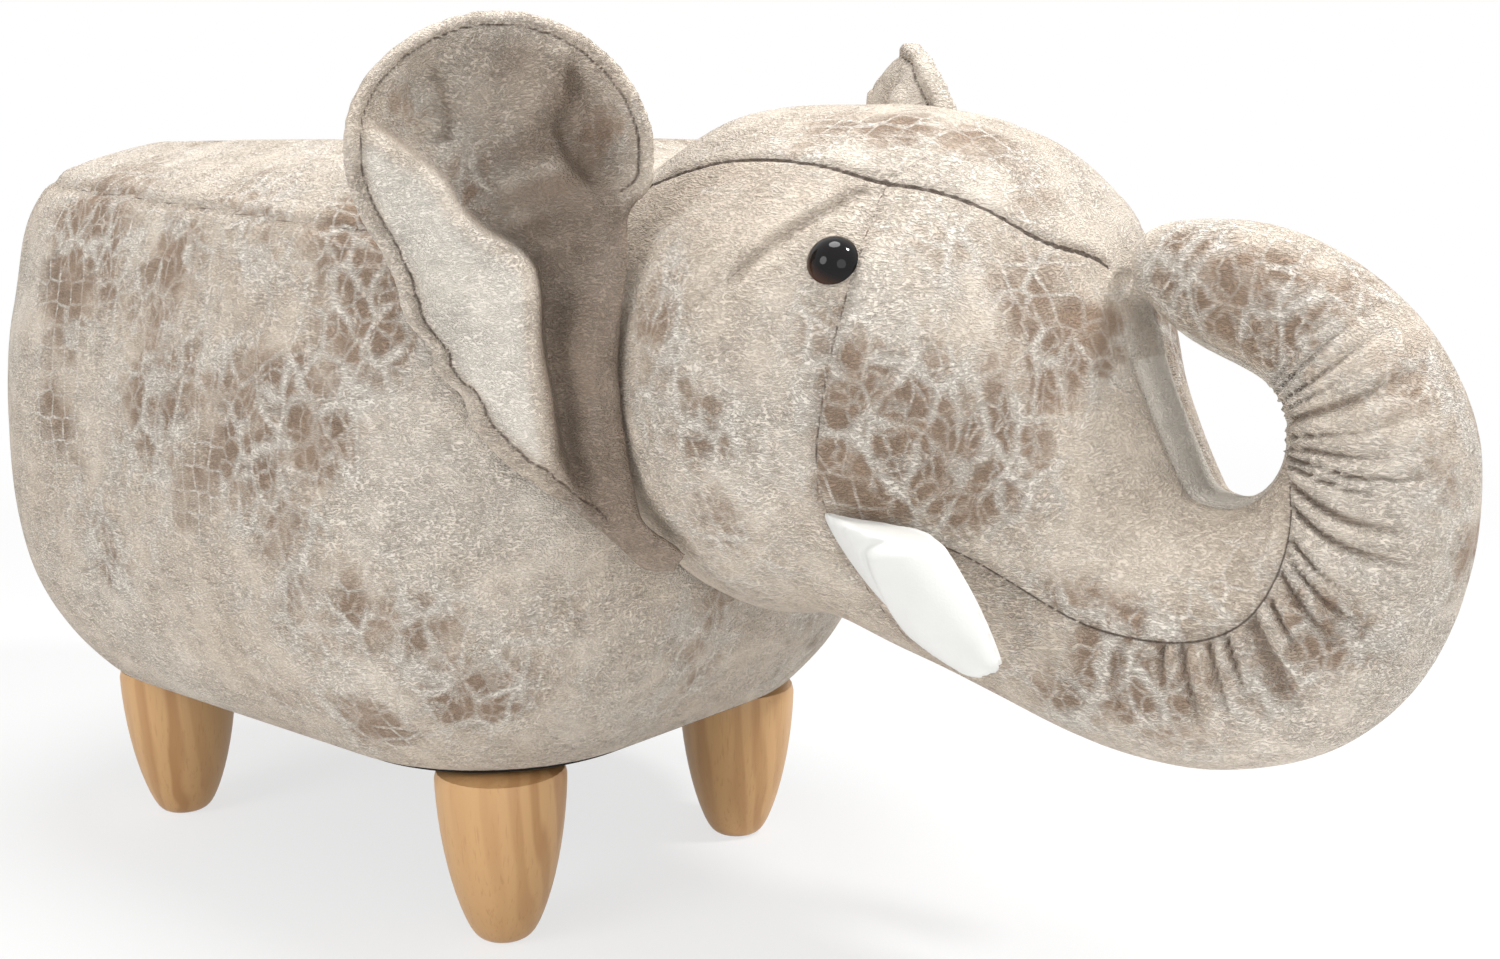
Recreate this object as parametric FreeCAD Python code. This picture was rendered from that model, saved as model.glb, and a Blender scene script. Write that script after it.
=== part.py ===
import FreeCAD, Part
import math
import os

V = FreeCAD.Vector

# Driving sizes, in millimetres and degrees. X runs forward to the trunk,
# Y to the animal's left and Z up from the floor.

# Legs and base
LEG_HEIGHT = 76.0
LEG_TOP_D = 54.0
LEG_FOOT_D = 23.0
LEG_SPREAD_X = 228.0
LEG_SPREAD_Y = 149.0
BOLT_D = 8.0
BOLT_IN_LEG = 32.0
NUT_BARREL_D = 11.0
NUT_FLANGE_D = 19.0
NUT_FLANGE_T = 1.5
DUST_T = 1.0
STAPLE_W = 10.0
STAPLE_WIRE = 1.0
STAPLE_DEEP = 6.0

# Timber frame
BASE_T = 15.0
SEAT_BOARD_T = 12.0
SEAT_BOARD_DROP = 45.0
BOARD_R = 66.0
WALL_T = 3.0
POST_W = 30.0
POST_X = 106.0
POST_Y = 47.0
RAIL_T = 18.0
RAIL_H = 60.0
SCREW_D = 4.0
SCREW_HEAD_D = 8.0
SCREW_L = 45.0

# Upholstered body: a rounded rectangle that swells and draws in
CORE_X = 78.0
CORE_Y = 41.0
BOTTOM_R = 71.0
SWELL_R = 114.0
SEAM_R = 97.0
SWELL_UP = 115.0
SEAM_UP = 216.0
CROWN_RISE = 26.5
SEAM_TILT = 3.5
SEAM_LIFT = 4.0
HEM_W = 26.0
COVER_T = 1.2
GAP = 0.3

# Head and trunk: a spine of one straight run and three bends
NECK_X = 150.0
NECK_RUN = 73.0
HEAD_UP = 161.0
BROW_R = 178.0
FACE_SLOPE = 45.0
CURL_R = 54.0
CURL_TURN = 210.0
TIP_R = 120.0
TIP_TURN = 24.0
TRUNK_SPLIT_X = 346.0
EYE_SEAM_X = 291.0

# One row for each station along the spine: the bend it lies on, how far along
# that bend, reach above the spine, reach below it, half width, and the half
# width of the crown panel and the band that runs on inside the curl.
STATIONS = [
    (0, 0.00, 73.0, 76.0, 76.0, 57.0),
    (0, 0.50, 92.0, 93.0, 93.0, 59.0),
    (1, 0.04, 98.0, 97.5, 102.0, 60.0),
    (1, 0.30, 100.5, 92.0, 100.0, 58.0),
    (1, 0.50, 92.5, 89.5, 92.0, 47.0),
    (1, 0.66, 73.5, 88.5, 82.0, 29.0),
    (1, 0.82, 51.5, 85.5, 69.0, 16.0),
    (2, 0.00, 39.0, 79.0, 60.0, 12.0),
    (2, 0.12, 37.0, 62.0, 53.0, 12.0),
    (2, 0.21, 37.3, 57.0, 49.0, 12.0),
    (2, 0.33, 37.0, 50.0, 44.0, 12.0),
    (2, 0.45, 37.0, 37.5, 38.0, 12.0),
    (2, 0.57, 36.5, 27.0, 32.0, 12.0),
    (2, 0.69, 35.5, 22.5, 28.5, 12.0),
    (2, 0.81, 33.0, 18.5, 26.0, 12.0),
    (2, 1.00, 31.0, 17.5, 24.5, 11.0),
    (3, 0.35, 28.5, 17.5, 23.0, 11.0),
    (3, 0.70, 22.0, 16.0, 20.0, 10.0),
    (3, 1.00, 9.5, 10.5, 13.0, 8.0),
]

# The lower face seam: bend, how far along it, offset from the spine
LOWER_SEAM = [
    (1, 0.40, -20.0),
    (1, 0.60, -20.0),
    (1, 0.82, -15.0),
    (2, 0.00, -9.0),
    (2, 0.12, -6.0),
    (2, 0.21, -3.0),
    (2, 0.33, 0.0),
    (2, 0.45, 7.0),
    (2, 0.57, 17.0),
    (2, 0.69, 39.0),
]

# Head fixings
HEAD_BOARD_GAP = 5.0
HEAD_BOARD_T = 12.0
HEAD_BOARD_D = 136.0
HEAD_BOLT_D = 6.0
HEAD_BOLT_AF = 10.0
HEAD_BOLT_HEAD_T = 4.0
WASHER_D = 18.0
WASHER_T = 1.5
HEAD_BOLT_SPREAD = 22.0
HEAD_BOLT_PITCH_Z = 34.0

# Eyes and tusks
EYE_X = 286.0
EYE_UP = 45.0
EYE_D = 17.0
EYE_RISE = 5.5
EYE_SHANK_D = 5.0
EYE_SHANK_L = 12.0
EYE_WASHER_D = 18.0
TUSK_ROOT_PLACE = (307.0, -38.0)
TUSK_BEND_PLACE = (325.0, -63.0)
TUSK_TIP_PLACE = (349.0, -78.0)
TUSK_Y = 86.0
TUSK_ROOT_W = 48.0
TUSK_TIP_W = 10.0
TUSK_ROOT_T = 22.0
TUSK_TIP_T = 9.0

# Ears: a cupped leaf that swings on an upright root
EAR_X = 200.0
EAR_SWEEP = 33.5
EAR_T = 7.0
EAR_CUP = 10.0
EAR_HEM = 6.0
EAR_LOBE_R = 48.0
EAR_LOBE_OUT = 33.0
EAR_LOBE_UP = 78.0
EAR_END_R = 9.0
EAR_END_OUT = -5.0
EAR_END_UP = -59.0
EAR_ROOT_DOWN = -48.0
EAR_ROOT_UP = 56.0

# Places worked out from the sizes above
BODY_BOTTOM = LEG_HEIGHT + DUST_T
BASE_BOTTOM = BODY_BOTTOM + COVER_T
BASE_TOP = BASE_BOTTOM + BASE_T
SEAM_Z = BODY_BOTTOM + SEAM_UP
CROWN_Z = SEAM_Z + CROWN_RISE
SEAT_BOARD_TOP = CROWN_Z - SEAT_BOARD_DROP
SEAT_BOARD_BOTTOM = SEAT_BOARD_TOP - SEAT_BOARD_T
POST_FRONT = POST_X + POST_W / 2
RAIL_FRONT = POST_FRONT + RAIL_T
BODY_FRONT = CORE_X + SWELL_R
HEAD_BOARD_X = BODY_FRONT + HEAD_BOARD_GAP
HEAD_BOARD_FRONT = HEAD_BOARD_X + HEAD_BOARD_T
HEAD_Z = BODY_BOTTOM + HEAD_UP
BOLT_Z = HEAD_Z - 12.0
EYE_Z = HEAD_Z + EYE_UP
TUSK_ROOT, TUSK_BEND, TUSK_TIP = [
    (x, HEAD_Z + up) for x, up in (TUSK_ROOT_PLACE, TUSK_BEND_PLACE, TUSK_TIP_PLACE)
]
EAR_LOBE_Z = HEAD_Z + EAR_LOBE_UP
EAR_END_Z = HEAD_Z + EAR_END_UP
EAR_ROOT_LOW = HEAD_Z + EAR_ROOT_DOWN
EAR_ROOT_HIGH = HEAD_Z + EAR_ROOT_UP
FAR = 600.0
ROOT_HALF = math.sqrt(0.5)

SPINE = [
    (NECK_RUN, 0.0),
    (BROW_R, -FACE_SLOPE),
    (CURL_R, CURL_TURN),
    (TIP_R, TIP_TURN),
]


def spine_at(bend, along):
    """Place and heading on the head's spine, in the XZ plane."""
    x, z, heading = NECK_X, HEAD_Z, 0.0
    for index, (size, turn) in enumerate(SPINE):
        part = 1.0 if index < bend else along
        if turn == 0.0:
            x += size * part * math.cos(heading)
            z += size * part * math.sin(heading)
        else:
            side = math.copysign(1.0, turn)
            centre_x = x - side * size * math.sin(heading)
            centre_z = z + side * size * math.cos(heading)
            heading += math.radians(turn) * part
            x = centre_x + side * size * math.sin(heading)
            z = centre_z - side * size * math.cos(heading)
        if index == bend:
            return x, z, heading


def spine_point(bend, along, offset):
    x, z, heading = spine_at(bend, along)
    return V(x - offset * math.sin(heading), 0, z + offset * math.cos(heading))


TRUNK_FRONT = max(spine_point(row[0], row[1], -row[3]).x for row in STATIONS)
SHIFT_X = (TRUNK_FRONT - CORE_X - SWELL_R) / 2


def line(a, b):
    return Part.LineSegment(a, b).toShape()


def arc(a, b, c):
    return Part.Arc(a, b, c).toShape()


def box(x0, x1, y0, y1, z0, z1):
    return Part.makeBox(x1 - x0, y1 - y0, z1 - z0, V(x0, y0, z0))


def rod(radius, start, end):
    axis = end - start
    return Part.makeCylinder(radius, axis.Length, start, axis)


def mirrored(shape):
    return shape.mirror(V(0, 0, 0), V(0, 1, 0))


def export(name, shape):
    placed = shape.copy()
    placed.translate(V(-SHIFT_X, 0, 0))
    placed.exportStep("parts/" + name + ".step")


def leg_places():
    for name, sx, sy in (
        ("front_right", 1, -1),
        ("front_left", 1, 1),
        ("rear_right", -1, -1),
        ("rear_left", -1, 1),
    ):
        yield name, sx * LEG_SPREAD_X / 2, sy * LEG_SPREAD_Y / 2


def post_places():
    for name, sx, sy in (
        ("front_right", 1, -1),
        ("front_left", 1, 1),
        ("rear_right", -1, -1),
        ("rear_left", -1, 1),
    ):
        yield name, sx * POST_X, sy * POST_Y


# Plan outlines of the seat body

def plan_wire(z, r):
    """The core rectangle grown by r, as four sides and four quarter arcs."""
    k = r * ROOT_HALF
    edges = []
    for sx, sy, swap in ((1, 1, False), (-1, 1, True), (-1, -1, False), (1, -1, True)):
        cx, cy = sx * CORE_X, sy * CORE_Y
        side = V(cx + sx * r, cy, z)
        end = V(cx, cy + sy * r, z)
        middle = V(cx + sx * k, cy + sy * k, z)
        if swap:
            side, end = end, side
        edges.append((side, middle, end))
    parts = []
    for index in range(4):
        start, middle, end = edges[index]
        following = edges[(index + 1) % 4][0]
        parts.append(arc(start, middle, end))
        parts.append(line(end, following))
    return Part.Wire(parts)


def plan_block(r, z0, z1):
    return Part.Face(plan_wire(z0, r)).extrude(V(0, 0, z1 - z0))


def body_profile(grow):
    """Radius and height pairs up the upholstered side and over the crown."""
    points = []
    for index in range(6):
        t = (index / 5.0) ** 1.4
        swell = 1.0 - (1.0 - t) ** 3.1
        points.append((BOTTOM_R + (SWELL_R - BOTTOM_R) * swell, BODY_BOTTOM + SWELL_UP * t))
    for index in range(1, 5):
        t = index / 4.0
        radius = SWELL_R - (SWELL_R - SEAM_R) * t * t
        points.append((radius, BODY_BOTTOM + SWELL_UP + (SEAM_UP - SWELL_UP) * t))
    for share in (0.035, 0.09, 0.18, 0.32, 0.52):
        rise = 1.0 - (1.0 - share) ** 6
        points.append((SEAM_R * (1.0 - share), SEAM_Z + CROWN_RISE * rise))
    moved = []
    for index, (radius, z) in enumerate(points):
        before = points[max(index - 1, 0)]
        after = points[min(index + 1, len(points) - 1)]
        run_r = after[0] - before[0]
        run_z = after[1] - before[1]
        size = math.hypot(run_r, run_z)
        moved.append((radius + grow * run_z / size, z - grow * run_r / size))
    moved[0] = (points[0][0] + grow, BODY_BOTTOM - grow)
    return moved


def body_loft(grow):
    return Part.makeLoft([plan_wire(z, r) for r, z in body_profile(grow)], True, False)


# Timber frame, legs and their fixings

def make_leg(x, y):
    top = LEG_TOP_D / 2
    foot = LEG_FOOT_D / 2
    a = V(foot, 0, 0)
    b = V(foot + 3.0, 0, 3.5)
    edge = V(foot + 2.1, 0, 0.9)
    c = V(top, 0, LEG_HEIGHT * 0.92)
    belly = V(foot + 3.0 + (top - foot - 3.0) * 0.66, 0, LEG_HEIGHT * 0.42)
    d = V(top - 0.4, 0, LEG_HEIGHT)
    outline = [
        line(V(0, 0, 0), a),
        arc(a, edge, b),
        arc(b, belly, c),
        line(c, d),
        line(d, V(0, 0, LEG_HEIGHT)),
        line(V(0, 0, LEG_HEIGHT), V(0, 0, 0)),
    ]
    solid = Part.Face(Part.Wire(outline)).revolve(V(0, 0, 0), V(0, 0, 1), 360)
    solid.translate(V(x, y, 0))
    return solid


def hanger_bolt(x, y):
    top = BASE_TOP + NUT_FLANGE_T
    return rod(BOLT_D / 2, V(x, y, LEG_HEIGHT - BOLT_IN_LEG), V(x, y, top))


def tee_nut(x, y):
    barrel = rod(NUT_BARREL_D / 2, V(x, y, BASE_TOP - BASE_T * 0.7), V(x, y, BASE_TOP))
    flange = rod(NUT_FLANGE_D / 2, V(x, y, BASE_TOP), V(x, y, BASE_TOP + NUT_FLANGE_T))
    bore = rod(BOLT_D / 2 + 0.1, V(x, y, BASE_BOTTOM), V(x, y, BASE_TOP + NUT_FLANGE_T))
    return barrel.fuse(flange).removeSplitter().cut(bore)


def wood_screw(start, axis):
    """A countersunk screw whose head is flush at start and points along axis."""
    shank = Part.makeCylinder(SCREW_D / 2, SCREW_L, start, axis)
    depth = (SCREW_HEAD_D - SCREW_D) / 2
    head = Part.makeCone(SCREW_HEAD_D / 2, SCREW_D / 2, depth, start, axis)
    return shank.fuse(head).removeSplitter()


def frame_screws():
    screws = []
    for name, x, y in post_places():
        screws.append(wood_screw(V(x, y, BASE_BOTTOM), V(0, 0, 1)))
        screws.append(wood_screw(V(x, y, SEAT_BOARD_TOP), V(0, 0, -1)))
    for y in (-POST_Y, POST_Y):
        for z in (BOLT_Z - RAIL_H / 4, BOLT_Z + RAIL_H / 4):
            screws.append(wood_screw(V(RAIL_FRONT, y, z), V(-1, 0, 0)))
    return screws


def staple(x, y, angle):
    """A staple driven up through the dust cover and hem, crown downwards."""
    half = STAPLE_W / 2
    wire = STAPLE_WIRE
    crown = box(-half, half, -wire / 2, wire / 2, LEG_HEIGHT - wire, LEG_HEIGHT)
    top = LEG_HEIGHT + STAPLE_DEEP
    left = box(-half, -half + wire, -wire / 2, wire / 2, LEG_HEIGHT - wire, top)
    right = box(half - wire, half, -wire / 2, wire / 2, LEG_HEIGHT - wire, top)
    shape = crown.fuse([left, right]).removeSplitter()
    shape.rotate(V(0, 0, 0), V(0, 0, 1), angle)
    shape.translate(V(x, y, 0))
    return shape


def cover_staples():
    """Staples along the four straight sides; the legs take the corners."""
    reach = BOARD_R - 6.0
    places = []
    for share in (-0.9, -0.3, 0.3, 0.9):
        for side in (-1, 1):
            places.append((share * CORE_X, side * (CORE_Y + reach), 0.0))
            places.append((side * (CORE_X + reach), share * CORE_Y, 90.0))
    return [staple(*place) for place in places]


def head_bolt_places():
    return [
        (0.0, BOLT_Z + HEAD_BOLT_PITCH_Z / 2),
        (-HEAD_BOLT_SPREAD, BOLT_Z - HEAD_BOLT_PITCH_Z / 2),
        (HEAD_BOLT_SPREAD, BOLT_Z - HEAD_BOLT_PITCH_Z / 2),
    ]


def head_bolt(y, z):
    head_back = POST_FRONT - WASHER_T - HEAD_BOLT_HEAD_T
    radius = HEAD_BOLT_AF / 2 / math.cos(math.radians(30))
    corners = []
    for index in range(7):
        turn = math.radians(60 * index)
        corners.append(V(head_back, y + radius * math.cos(turn), z + radius * math.sin(turn)))
    head = Part.Face(Part.makePolygon(corners)).extrude(V(HEAD_BOLT_HEAD_T, 0, 0))
    end = HEAD_BOARD_FRONT + NUT_FLANGE_T
    shank = rod(HEAD_BOLT_D / 2, V(POST_FRONT - WASHER_T, y, z), V(end, y, z))
    return head.fuse(shank).removeSplitter()


def head_washer(y, z):
    disc = rod(WASHER_D / 2, V(POST_FRONT - WASHER_T, y, z), V(POST_FRONT, y, z))
    hole = rod(HEAD_BOLT_D / 2 + 0.2, V(POST_FRONT - FAR, y, z), V(POST_FRONT, y, z))
    return disc.cut(hole)


def head_nut(y, z):
    end = HEAD_BOARD_FRONT + NUT_FLANGE_T
    barrel_back = HEAD_BOARD_FRONT - HEAD_BOARD_T * 0.7
    barrel = rod(HEAD_BOLT_D / 2 + 1.5, V(barrel_back, y, z), V(HEAD_BOARD_FRONT, y, z))
    flange = rod(NUT_FLANGE_D / 2, V(HEAD_BOARD_FRONT, y, z), V(end, y, z))
    bore = rod(HEAD_BOLT_D / 2 + 0.1, V(barrel_back, y, z), V(end, y, z))
    return barrel.fuse(flange).removeSplitter().cut(bore)


# Head, trunk and tusks

def oval(centre, across, up, half_across, half_up):
    """Four tangent arcs, each a quarter turn, about a centre."""
    shift = (half_across - half_up) / (2.0 * ROOT_HALF - 1.0) * ROOT_HALF
    side_r = half_across - shift
    jx = shift + side_r * ROOT_HALF
    jy = side_r * ROOT_HALF

    def at(x, y):
        return centre + across * x + up * y

    edges = [
        arc(at(jx, -jy), at(half_across, 0), at(jx, jy)),
        arc(at(jx, jy), at(0, half_up), at(-jx, jy)),
        arc(at(-jx, jy), at(-half_across, 0), at(-jx, -jy)),
        arc(at(-jx, -jy), at(0, -half_up), at(jx, -jy)),
    ]
    return Part.Wire(edges)


def head_loft(inset):
    """The head and curled trunk as one form, drawn in all over by inset."""
    wires = []
    for bend, along, above, below, half, crown in STATIONS:
        if bend == 3 and along == 1.0:
            along -= inset / (TIP_R * math.radians(TIP_TURN))
        x, z, heading = spine_at(bend, along)
        up = V(-math.sin(heading), 0, math.cos(heading))
        centre = V(x, 0, z) + up * ((above - below) / 2)
        wires.append(oval(centre, V(0, -1, 0), up, half - inset, (above + below) / 2 - inset))
    return Part.makeLoft(wires, True, False)


def upright_sheet(points):
    """A cutting sheet that stands across the head on a curve in the XZ plane."""
    curve = Part.BSplineCurve()
    curve.interpolate(points)
    sheet = curve.toShape()
    sheet.translate(V(0, -FAR / 3, 0))
    return sheet.extrude(V(0, 2 * FAR / 3, 0))


def crown_region():
    """The space that holds the crown panel and the band inside the curl."""
    wires = []
    for bend, along, above, below, half, crown in STATIONS[:-1]:
        corners = []
        outside = above + 2.5
        if bend < 2:
            outside = above + (6.0 if along < 0.6 else 1.0)
        for y, offset in (
            (-crown, above / 2),
            (crown, above / 2),
            (crown, outside),
            (-crown, outside),
            (-crown, above / 2),
        ):
            corners.append(spine_point(bend, along, offset) + V(0, y, 0))
        wires.append(Part.makePolygon(corners))
    return Part.makeLoft(wires, True, True)


def lower_sheet():
    return upright_sheet([spine_point(*row) for row in LOWER_SEAM])


def head_panels(shell):
    """The sewn panels: crown with trunk band, cheek, face and trunk."""
    region = crown_region()
    band = shell.common(region)
    side = shell.cut(region)
    rear_block = box(-FAR, EYE_SEAM_X, -FAR, FAR, -FAR, FAR)
    right_block = box(-FAR, FAR, -FAR, 0, -FAR, FAR)
    cheek = side.common(rear_block).common(right_block)
    pieces, history = side.cut(rear_block).generalFuse([lower_sheet()])
    solids = sorted(pieces.Solids, key=lambda solid: -solid.Volume)
    trunk = solids[0]
    face = Part.makeCompound(solids[1:]).common(right_block)
    return band, cheek, face, trunk


def eye_place(head):
    """Where the eye's centre meets the head, and the way out of it there."""
    ray = line(V(EYE_X, -FAR, EYE_Z), V(EYE_X, 0, EYE_Z))
    inside = head.common(ray)
    point = min((v.Point for v in inside.Vertexes), key=lambda p: p.y)
    for face in head.Faces:
        if face.distToShape(Part.Vertex(point))[0] < 1e-4:
            u, v = face.Surface.parameter(point)
            normal = face.normalAt(u, v)
            break
    if normal.y > 0:
        normal = normal * -1
    return point, normal


def make_eye(point, normal):
    base = EYE_D / 2
    radius = (base * base + EYE_RISE * EYE_RISE) / (2 * EYE_RISE)
    start = point + normal * 0.05
    ball = Part.makeSphere(radius, start + normal * (EYE_RISE - radius))
    keep = Part.makeCylinder(base + 1.0, EYE_RISE + 1.0, start, normal)
    dome = ball.common(keep)
    shank = rod(EYE_SHANK_D / 2, point - normal * EYE_SHANK_L, start)
    return dome.fuse(shank).removeSplitter()


def eye_washer(point, normal):
    depth = COVER_T + 0.8
    disc = rod(EYE_WASHER_D / 2, point - normal * (depth + 1.5), point - normal * depth)
    hole = rod(EYE_SHANK_D / 2 + 0.1, point - normal * FAR / 10, point)
    return disc.cut(hole)


def tusk_loft(inset):
    """A flattened claw: wide at the root, curving forward to a blunt tip."""
    wires = []
    steps = 6
    for index in range(steps):
        t = index / (steps - 1.0)
        if index == steps - 1:
            t -= inset / 60.0
        a, b, c = (1 - t) ** 2, 2 * t * (1 - t), t * t
        x = a * TUSK_ROOT[0] + b * TUSK_BEND[0] + c * TUSK_TIP[0]
        z = a * TUSK_ROOT[1] + b * TUSK_BEND[1] + c * TUSK_TIP[1]
        narrow = t ** 1.7
        half = (TUSK_ROOT_W * (1 - narrow) + TUSK_TIP_W * narrow) / 2
        thick = (TUSK_ROOT_T * (1 - t * t) + TUSK_TIP_T * t * t) / 2
        lean = math.radians(-7.0 + 24.0 * t)
        along = V(math.cos(lean), 0, math.sin(lean))
        centre = V(x, -TUSK_Y, z)
        wires.append(oval(centre, along, V(0, -1, 0), half - inset, thick - inset))
    return Part.makeLoft(wires, True, False)


# Ears

def ear_axis_y(head):
    """How far out the ear's root stands so that it just clears the cheek."""
    reach = max(row[4] for row in STATIONS) + EAR_T
    for step in range(4):
        root = line(V(EAR_X, -reach, EAR_ROOT_LOW), V(EAR_X, -reach, EAR_ROOT_HIGH))
        reach -= root.distToShape(head)[0] - EAR_T / 2 - GAP
    return reach


def ear_outline(inset):
    """The leaf's outline in its own plane: x outward, z up."""
    top_r = EAR_LOBE_R - inset
    end_r = EAR_END_R - inset
    run_x = EAR_END_OUT - EAR_LOBE_OUT
    run_z = EAR_END_Z - EAR_LOBE_Z
    gap = math.hypot(run_x, run_z)
    turn = math.atan2(run_z, run_x) + math.acos((top_r - end_r) / gap)
    out = V(math.cos(turn), 0, math.sin(turn))
    lobe = V(EAR_LOBE_OUT, 0, EAR_LOBE_Z)
    end = V(EAR_END_OUT, 0, EAR_END_Z)
    drop = EAR_LOBE_Z - EAR_ROOT_HIGH - inset
    lean = math.asin(drop / 2 / top_r)
    start = lobe + V(-math.cos(lean), 0, -math.sin(lean)) * top_r
    top = lobe + V(0, 0, top_r)
    shoulder = lobe + V(-ROOT_HALF, 0, ROOT_HALF) * top_r
    tangent = lobe + out * top_r
    half_turn = (turn + math.pi / 2) / 2
    middle = lobe + V(math.cos(half_turn), 0, math.sin(half_turn)) * top_r
    end_out = end + out * end_r
    end_in = end + V(-1, 0, 0) * end_r
    end_low = end + V(out.x - 1, 0, out.z).normalize() * end_r
    root_low = V(0, 0, EAR_ROOT_LOW + inset)
    root_high = V(0, 0, EAR_ROOT_HIGH - inset)
    edges = [
        arc(start, shoulder, top),
        arc(top, middle, tangent),
        line(tangent, end_out),
        arc(end_out, end_low, end_in),
        line(end_in, root_low),
        line(root_low, root_high),
        line(root_high, start),
    ]
    return Part.Face(Part.Wire(edges))


def ear_pieces(axis_y):
    """Front cover, back cover and foam core of the right ear."""
    length = EAR_LOBE_OUT + EAR_LOBE_R
    bend_r = (length * length / 4 + EAR_CUP * EAR_CUP) / (2 * EAR_CUP)
    centre = V(length / 2, bend_r - EAR_CUP, 0)

    def drum(radius):
        return Part.makeCylinder(radius, FAR, centre, V(0, 0, 1))

    def block(inset):
        face = ear_outline(inset)
        face.translate(V(0, -4 * EAR_CUP, 0))
        return face.extrude(V(0, 6 * EAR_CUP, 0))

    root = rod(EAR_T / 2, V(0, 0, EAR_ROOT_LOW), V(0, 0, EAR_ROOT_HIGH))
    half = EAR_T / 2
    thin = half - COVER_T
    inner = drum(bend_r + thin).cut(drum(bend_r - thin)).common(block(EAR_HEM))
    core = inner.fuse(root).removeSplitter()
    leaf = block(0.0)
    front = drum(bend_r).cut(drum(bend_r - half)).common(leaf).cut(core)
    back = drum(bend_r + half).cut(drum(bend_r)).common(leaf).cut(core)
    pieces = []
    for shape in (front, back, core):
        placed = shape.copy()
        placed.rotate(V(0, 0, 0), V(0, 0, 1), -90.0 - EAR_SWEEP)
        placed.translate(V(EAR_X, -axis_y, 0))
        pieces.append(placed)
    return pieces


# Build

os.makedirs("parts", exist_ok=True)

body_outer = body_loft(0.0)
body_cover = body_outer.cut(body_loft(-COVER_T))
body_foam = body_loft(-COVER_T - GAP)
body_clear = body_loft(GAP)
head_outer = head_loft(0.0)
head_fill = head_loft(COVER_T + GAP)

bolts = [hanger_bolt(x, y) for name, x, y in leg_places()]
nuts = [tee_nut(x, y) for name, x, y in leg_places()]
screws = frame_screws()
head_bolts = [head_bolt(y, z) for y, z in head_bolt_places()]
head_nuts = [head_nut(y, z) for y, z in head_bolt_places()]

# Legs and their fixings
for name, x, y in leg_places():
    export(name + "_leg", make_leg(x, y).cut(hanger_bolt(x, y)))
export("leg_hanger_bolts", Part.makeCompound(bolts))
export("leg_tee_nuts", Part.makeCompound(nuts))

# Base, posts and seat board
base = plan_block(BOARD_R, BASE_BOTTOM, BASE_TOP)
export("base_board", base.cut(bolts + nuts + screws))
for name, x, y in post_places():
    half = POST_W / 2
    post = box(x - half, x + half, y - half, y + half, BASE_TOP, SEAT_BOARD_BOTTOM)
    export(name + "_post", post.cut(screws))
seat_board = plan_block(BOARD_R, SEAT_BOARD_BOTTOM, SEAT_BOARD_TOP)
export("seat_board", seat_board.cut(screws))
rail_end = POST_Y + POST_W / 2
rail = box(POST_FRONT, RAIL_FRONT, -rail_end, rail_end, BOLT_Z - RAIL_H / 2, BOLT_Z + RAIL_H / 2)
export("head_rail", rail.cut(screws + head_bolts))
export("frame_screws", Part.makeCompound(screws))
wall = plan_block(BOARD_R + WALL_T, BASE_BOTTOM, SEAT_BOARD_TOP)
wall = wall.cut(plan_block(BOARD_R, BASE_BOTTOM, SEAT_BOARD_TOP))
export("side_wall", wall.cut(head_bolts))

# Foam, covers and dust cover
above_board = box(-FAR, FAR, -FAR, FAR, SEAT_BOARD_TOP, FAR)
export("seat_foam", body_foam.common(above_board))
side_foam = body_foam.cut(above_board)
side_foam = side_foam.cut(plan_block(BOARD_R + WALL_T, 0.0, SEAT_BOARD_TOP))
side_foam = side_foam.cut(box(-FAR, FAR, -FAR, FAR, 0.0, BODY_BOTTOM + BASE_T / 2))
export("side_foam", side_foam.cut(head_bolts))
above_seam = box(-FAR, FAR, -FAR, FAR, SEAM_Z + SEAM_LIFT, SEAM_Z + FAR)
above_seam.rotate(V(0, 0, SEAM_Z + SEAM_LIFT), V(0, 1, 0), SEAM_TILT)
hem_hole = plan_block(BOTTOM_R - HEM_W, BODY_BOTTOM - 1.0, BASE_BOTTOM)
export("seat_top_cover", body_cover.common(above_seam))
export("body_side_cover", body_cover.cut([above_seam, hem_hole] + bolts + head_bolts))
dust = plan_block(BOARD_R, LEG_HEIGHT, BODY_BOTTOM)
export("dust_cover", dust.cut(bolts))
export("cover_staples", Part.makeCompound(cover_staples()))

# Head board and its fixings
board = rod(HEAD_BOARD_D / 2, V(HEAD_BOARD_X, 0, BOLT_Z), V(HEAD_BOARD_FRONT, 0, BOLT_Z))
export("head_board", board.cut(head_bolts + head_nuts))
export("head_bolts", Part.makeCompound(head_bolts))
export("head_bolt_washers", Part.makeCompound([head_washer(y, z) for y, z in head_bolt_places()]))
export("head_tee_nuts", Part.makeCompound(head_nuts))

# Eyes, stuffing and sewn panels of the head
eye_point, eye_normal = eye_place(head_outer)
eye = make_eye(eye_point, eye_normal)
washer = eye_washer(eye_point, eye_normal)
eyes = [eye, mirrored(eye)]
washers = [washer, mirrored(washer)]
export("right_eye", eyes[0])
export("left_eye", eyes[1])
export("eye_lock_washers", Part.makeCompound(washers))
fill = head_fill.cut([body_clear, board] + head_bolts + head_nuts + eyes + washers)
front_block = box(TRUNK_SPLIT_X, FAR * 2, -FAR, FAR, -FAR, FAR)
export("head_stuffing", fill.cut(front_block))
export("trunk_stuffing", fill.common(front_block))
shell = head_outer.cut([head_loft(COVER_T), body_clear])
band, cheek, face, trunk = head_panels(shell)
export("crown_panel", band)
cheek = cheek.cut(eye)
face = face.cut(eye)
export("right_cheek_panel", cheek)
export("left_cheek_panel", mirrored(cheek))
export("right_face_panel", face)
export("left_face_panel", mirrored(face))
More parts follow.
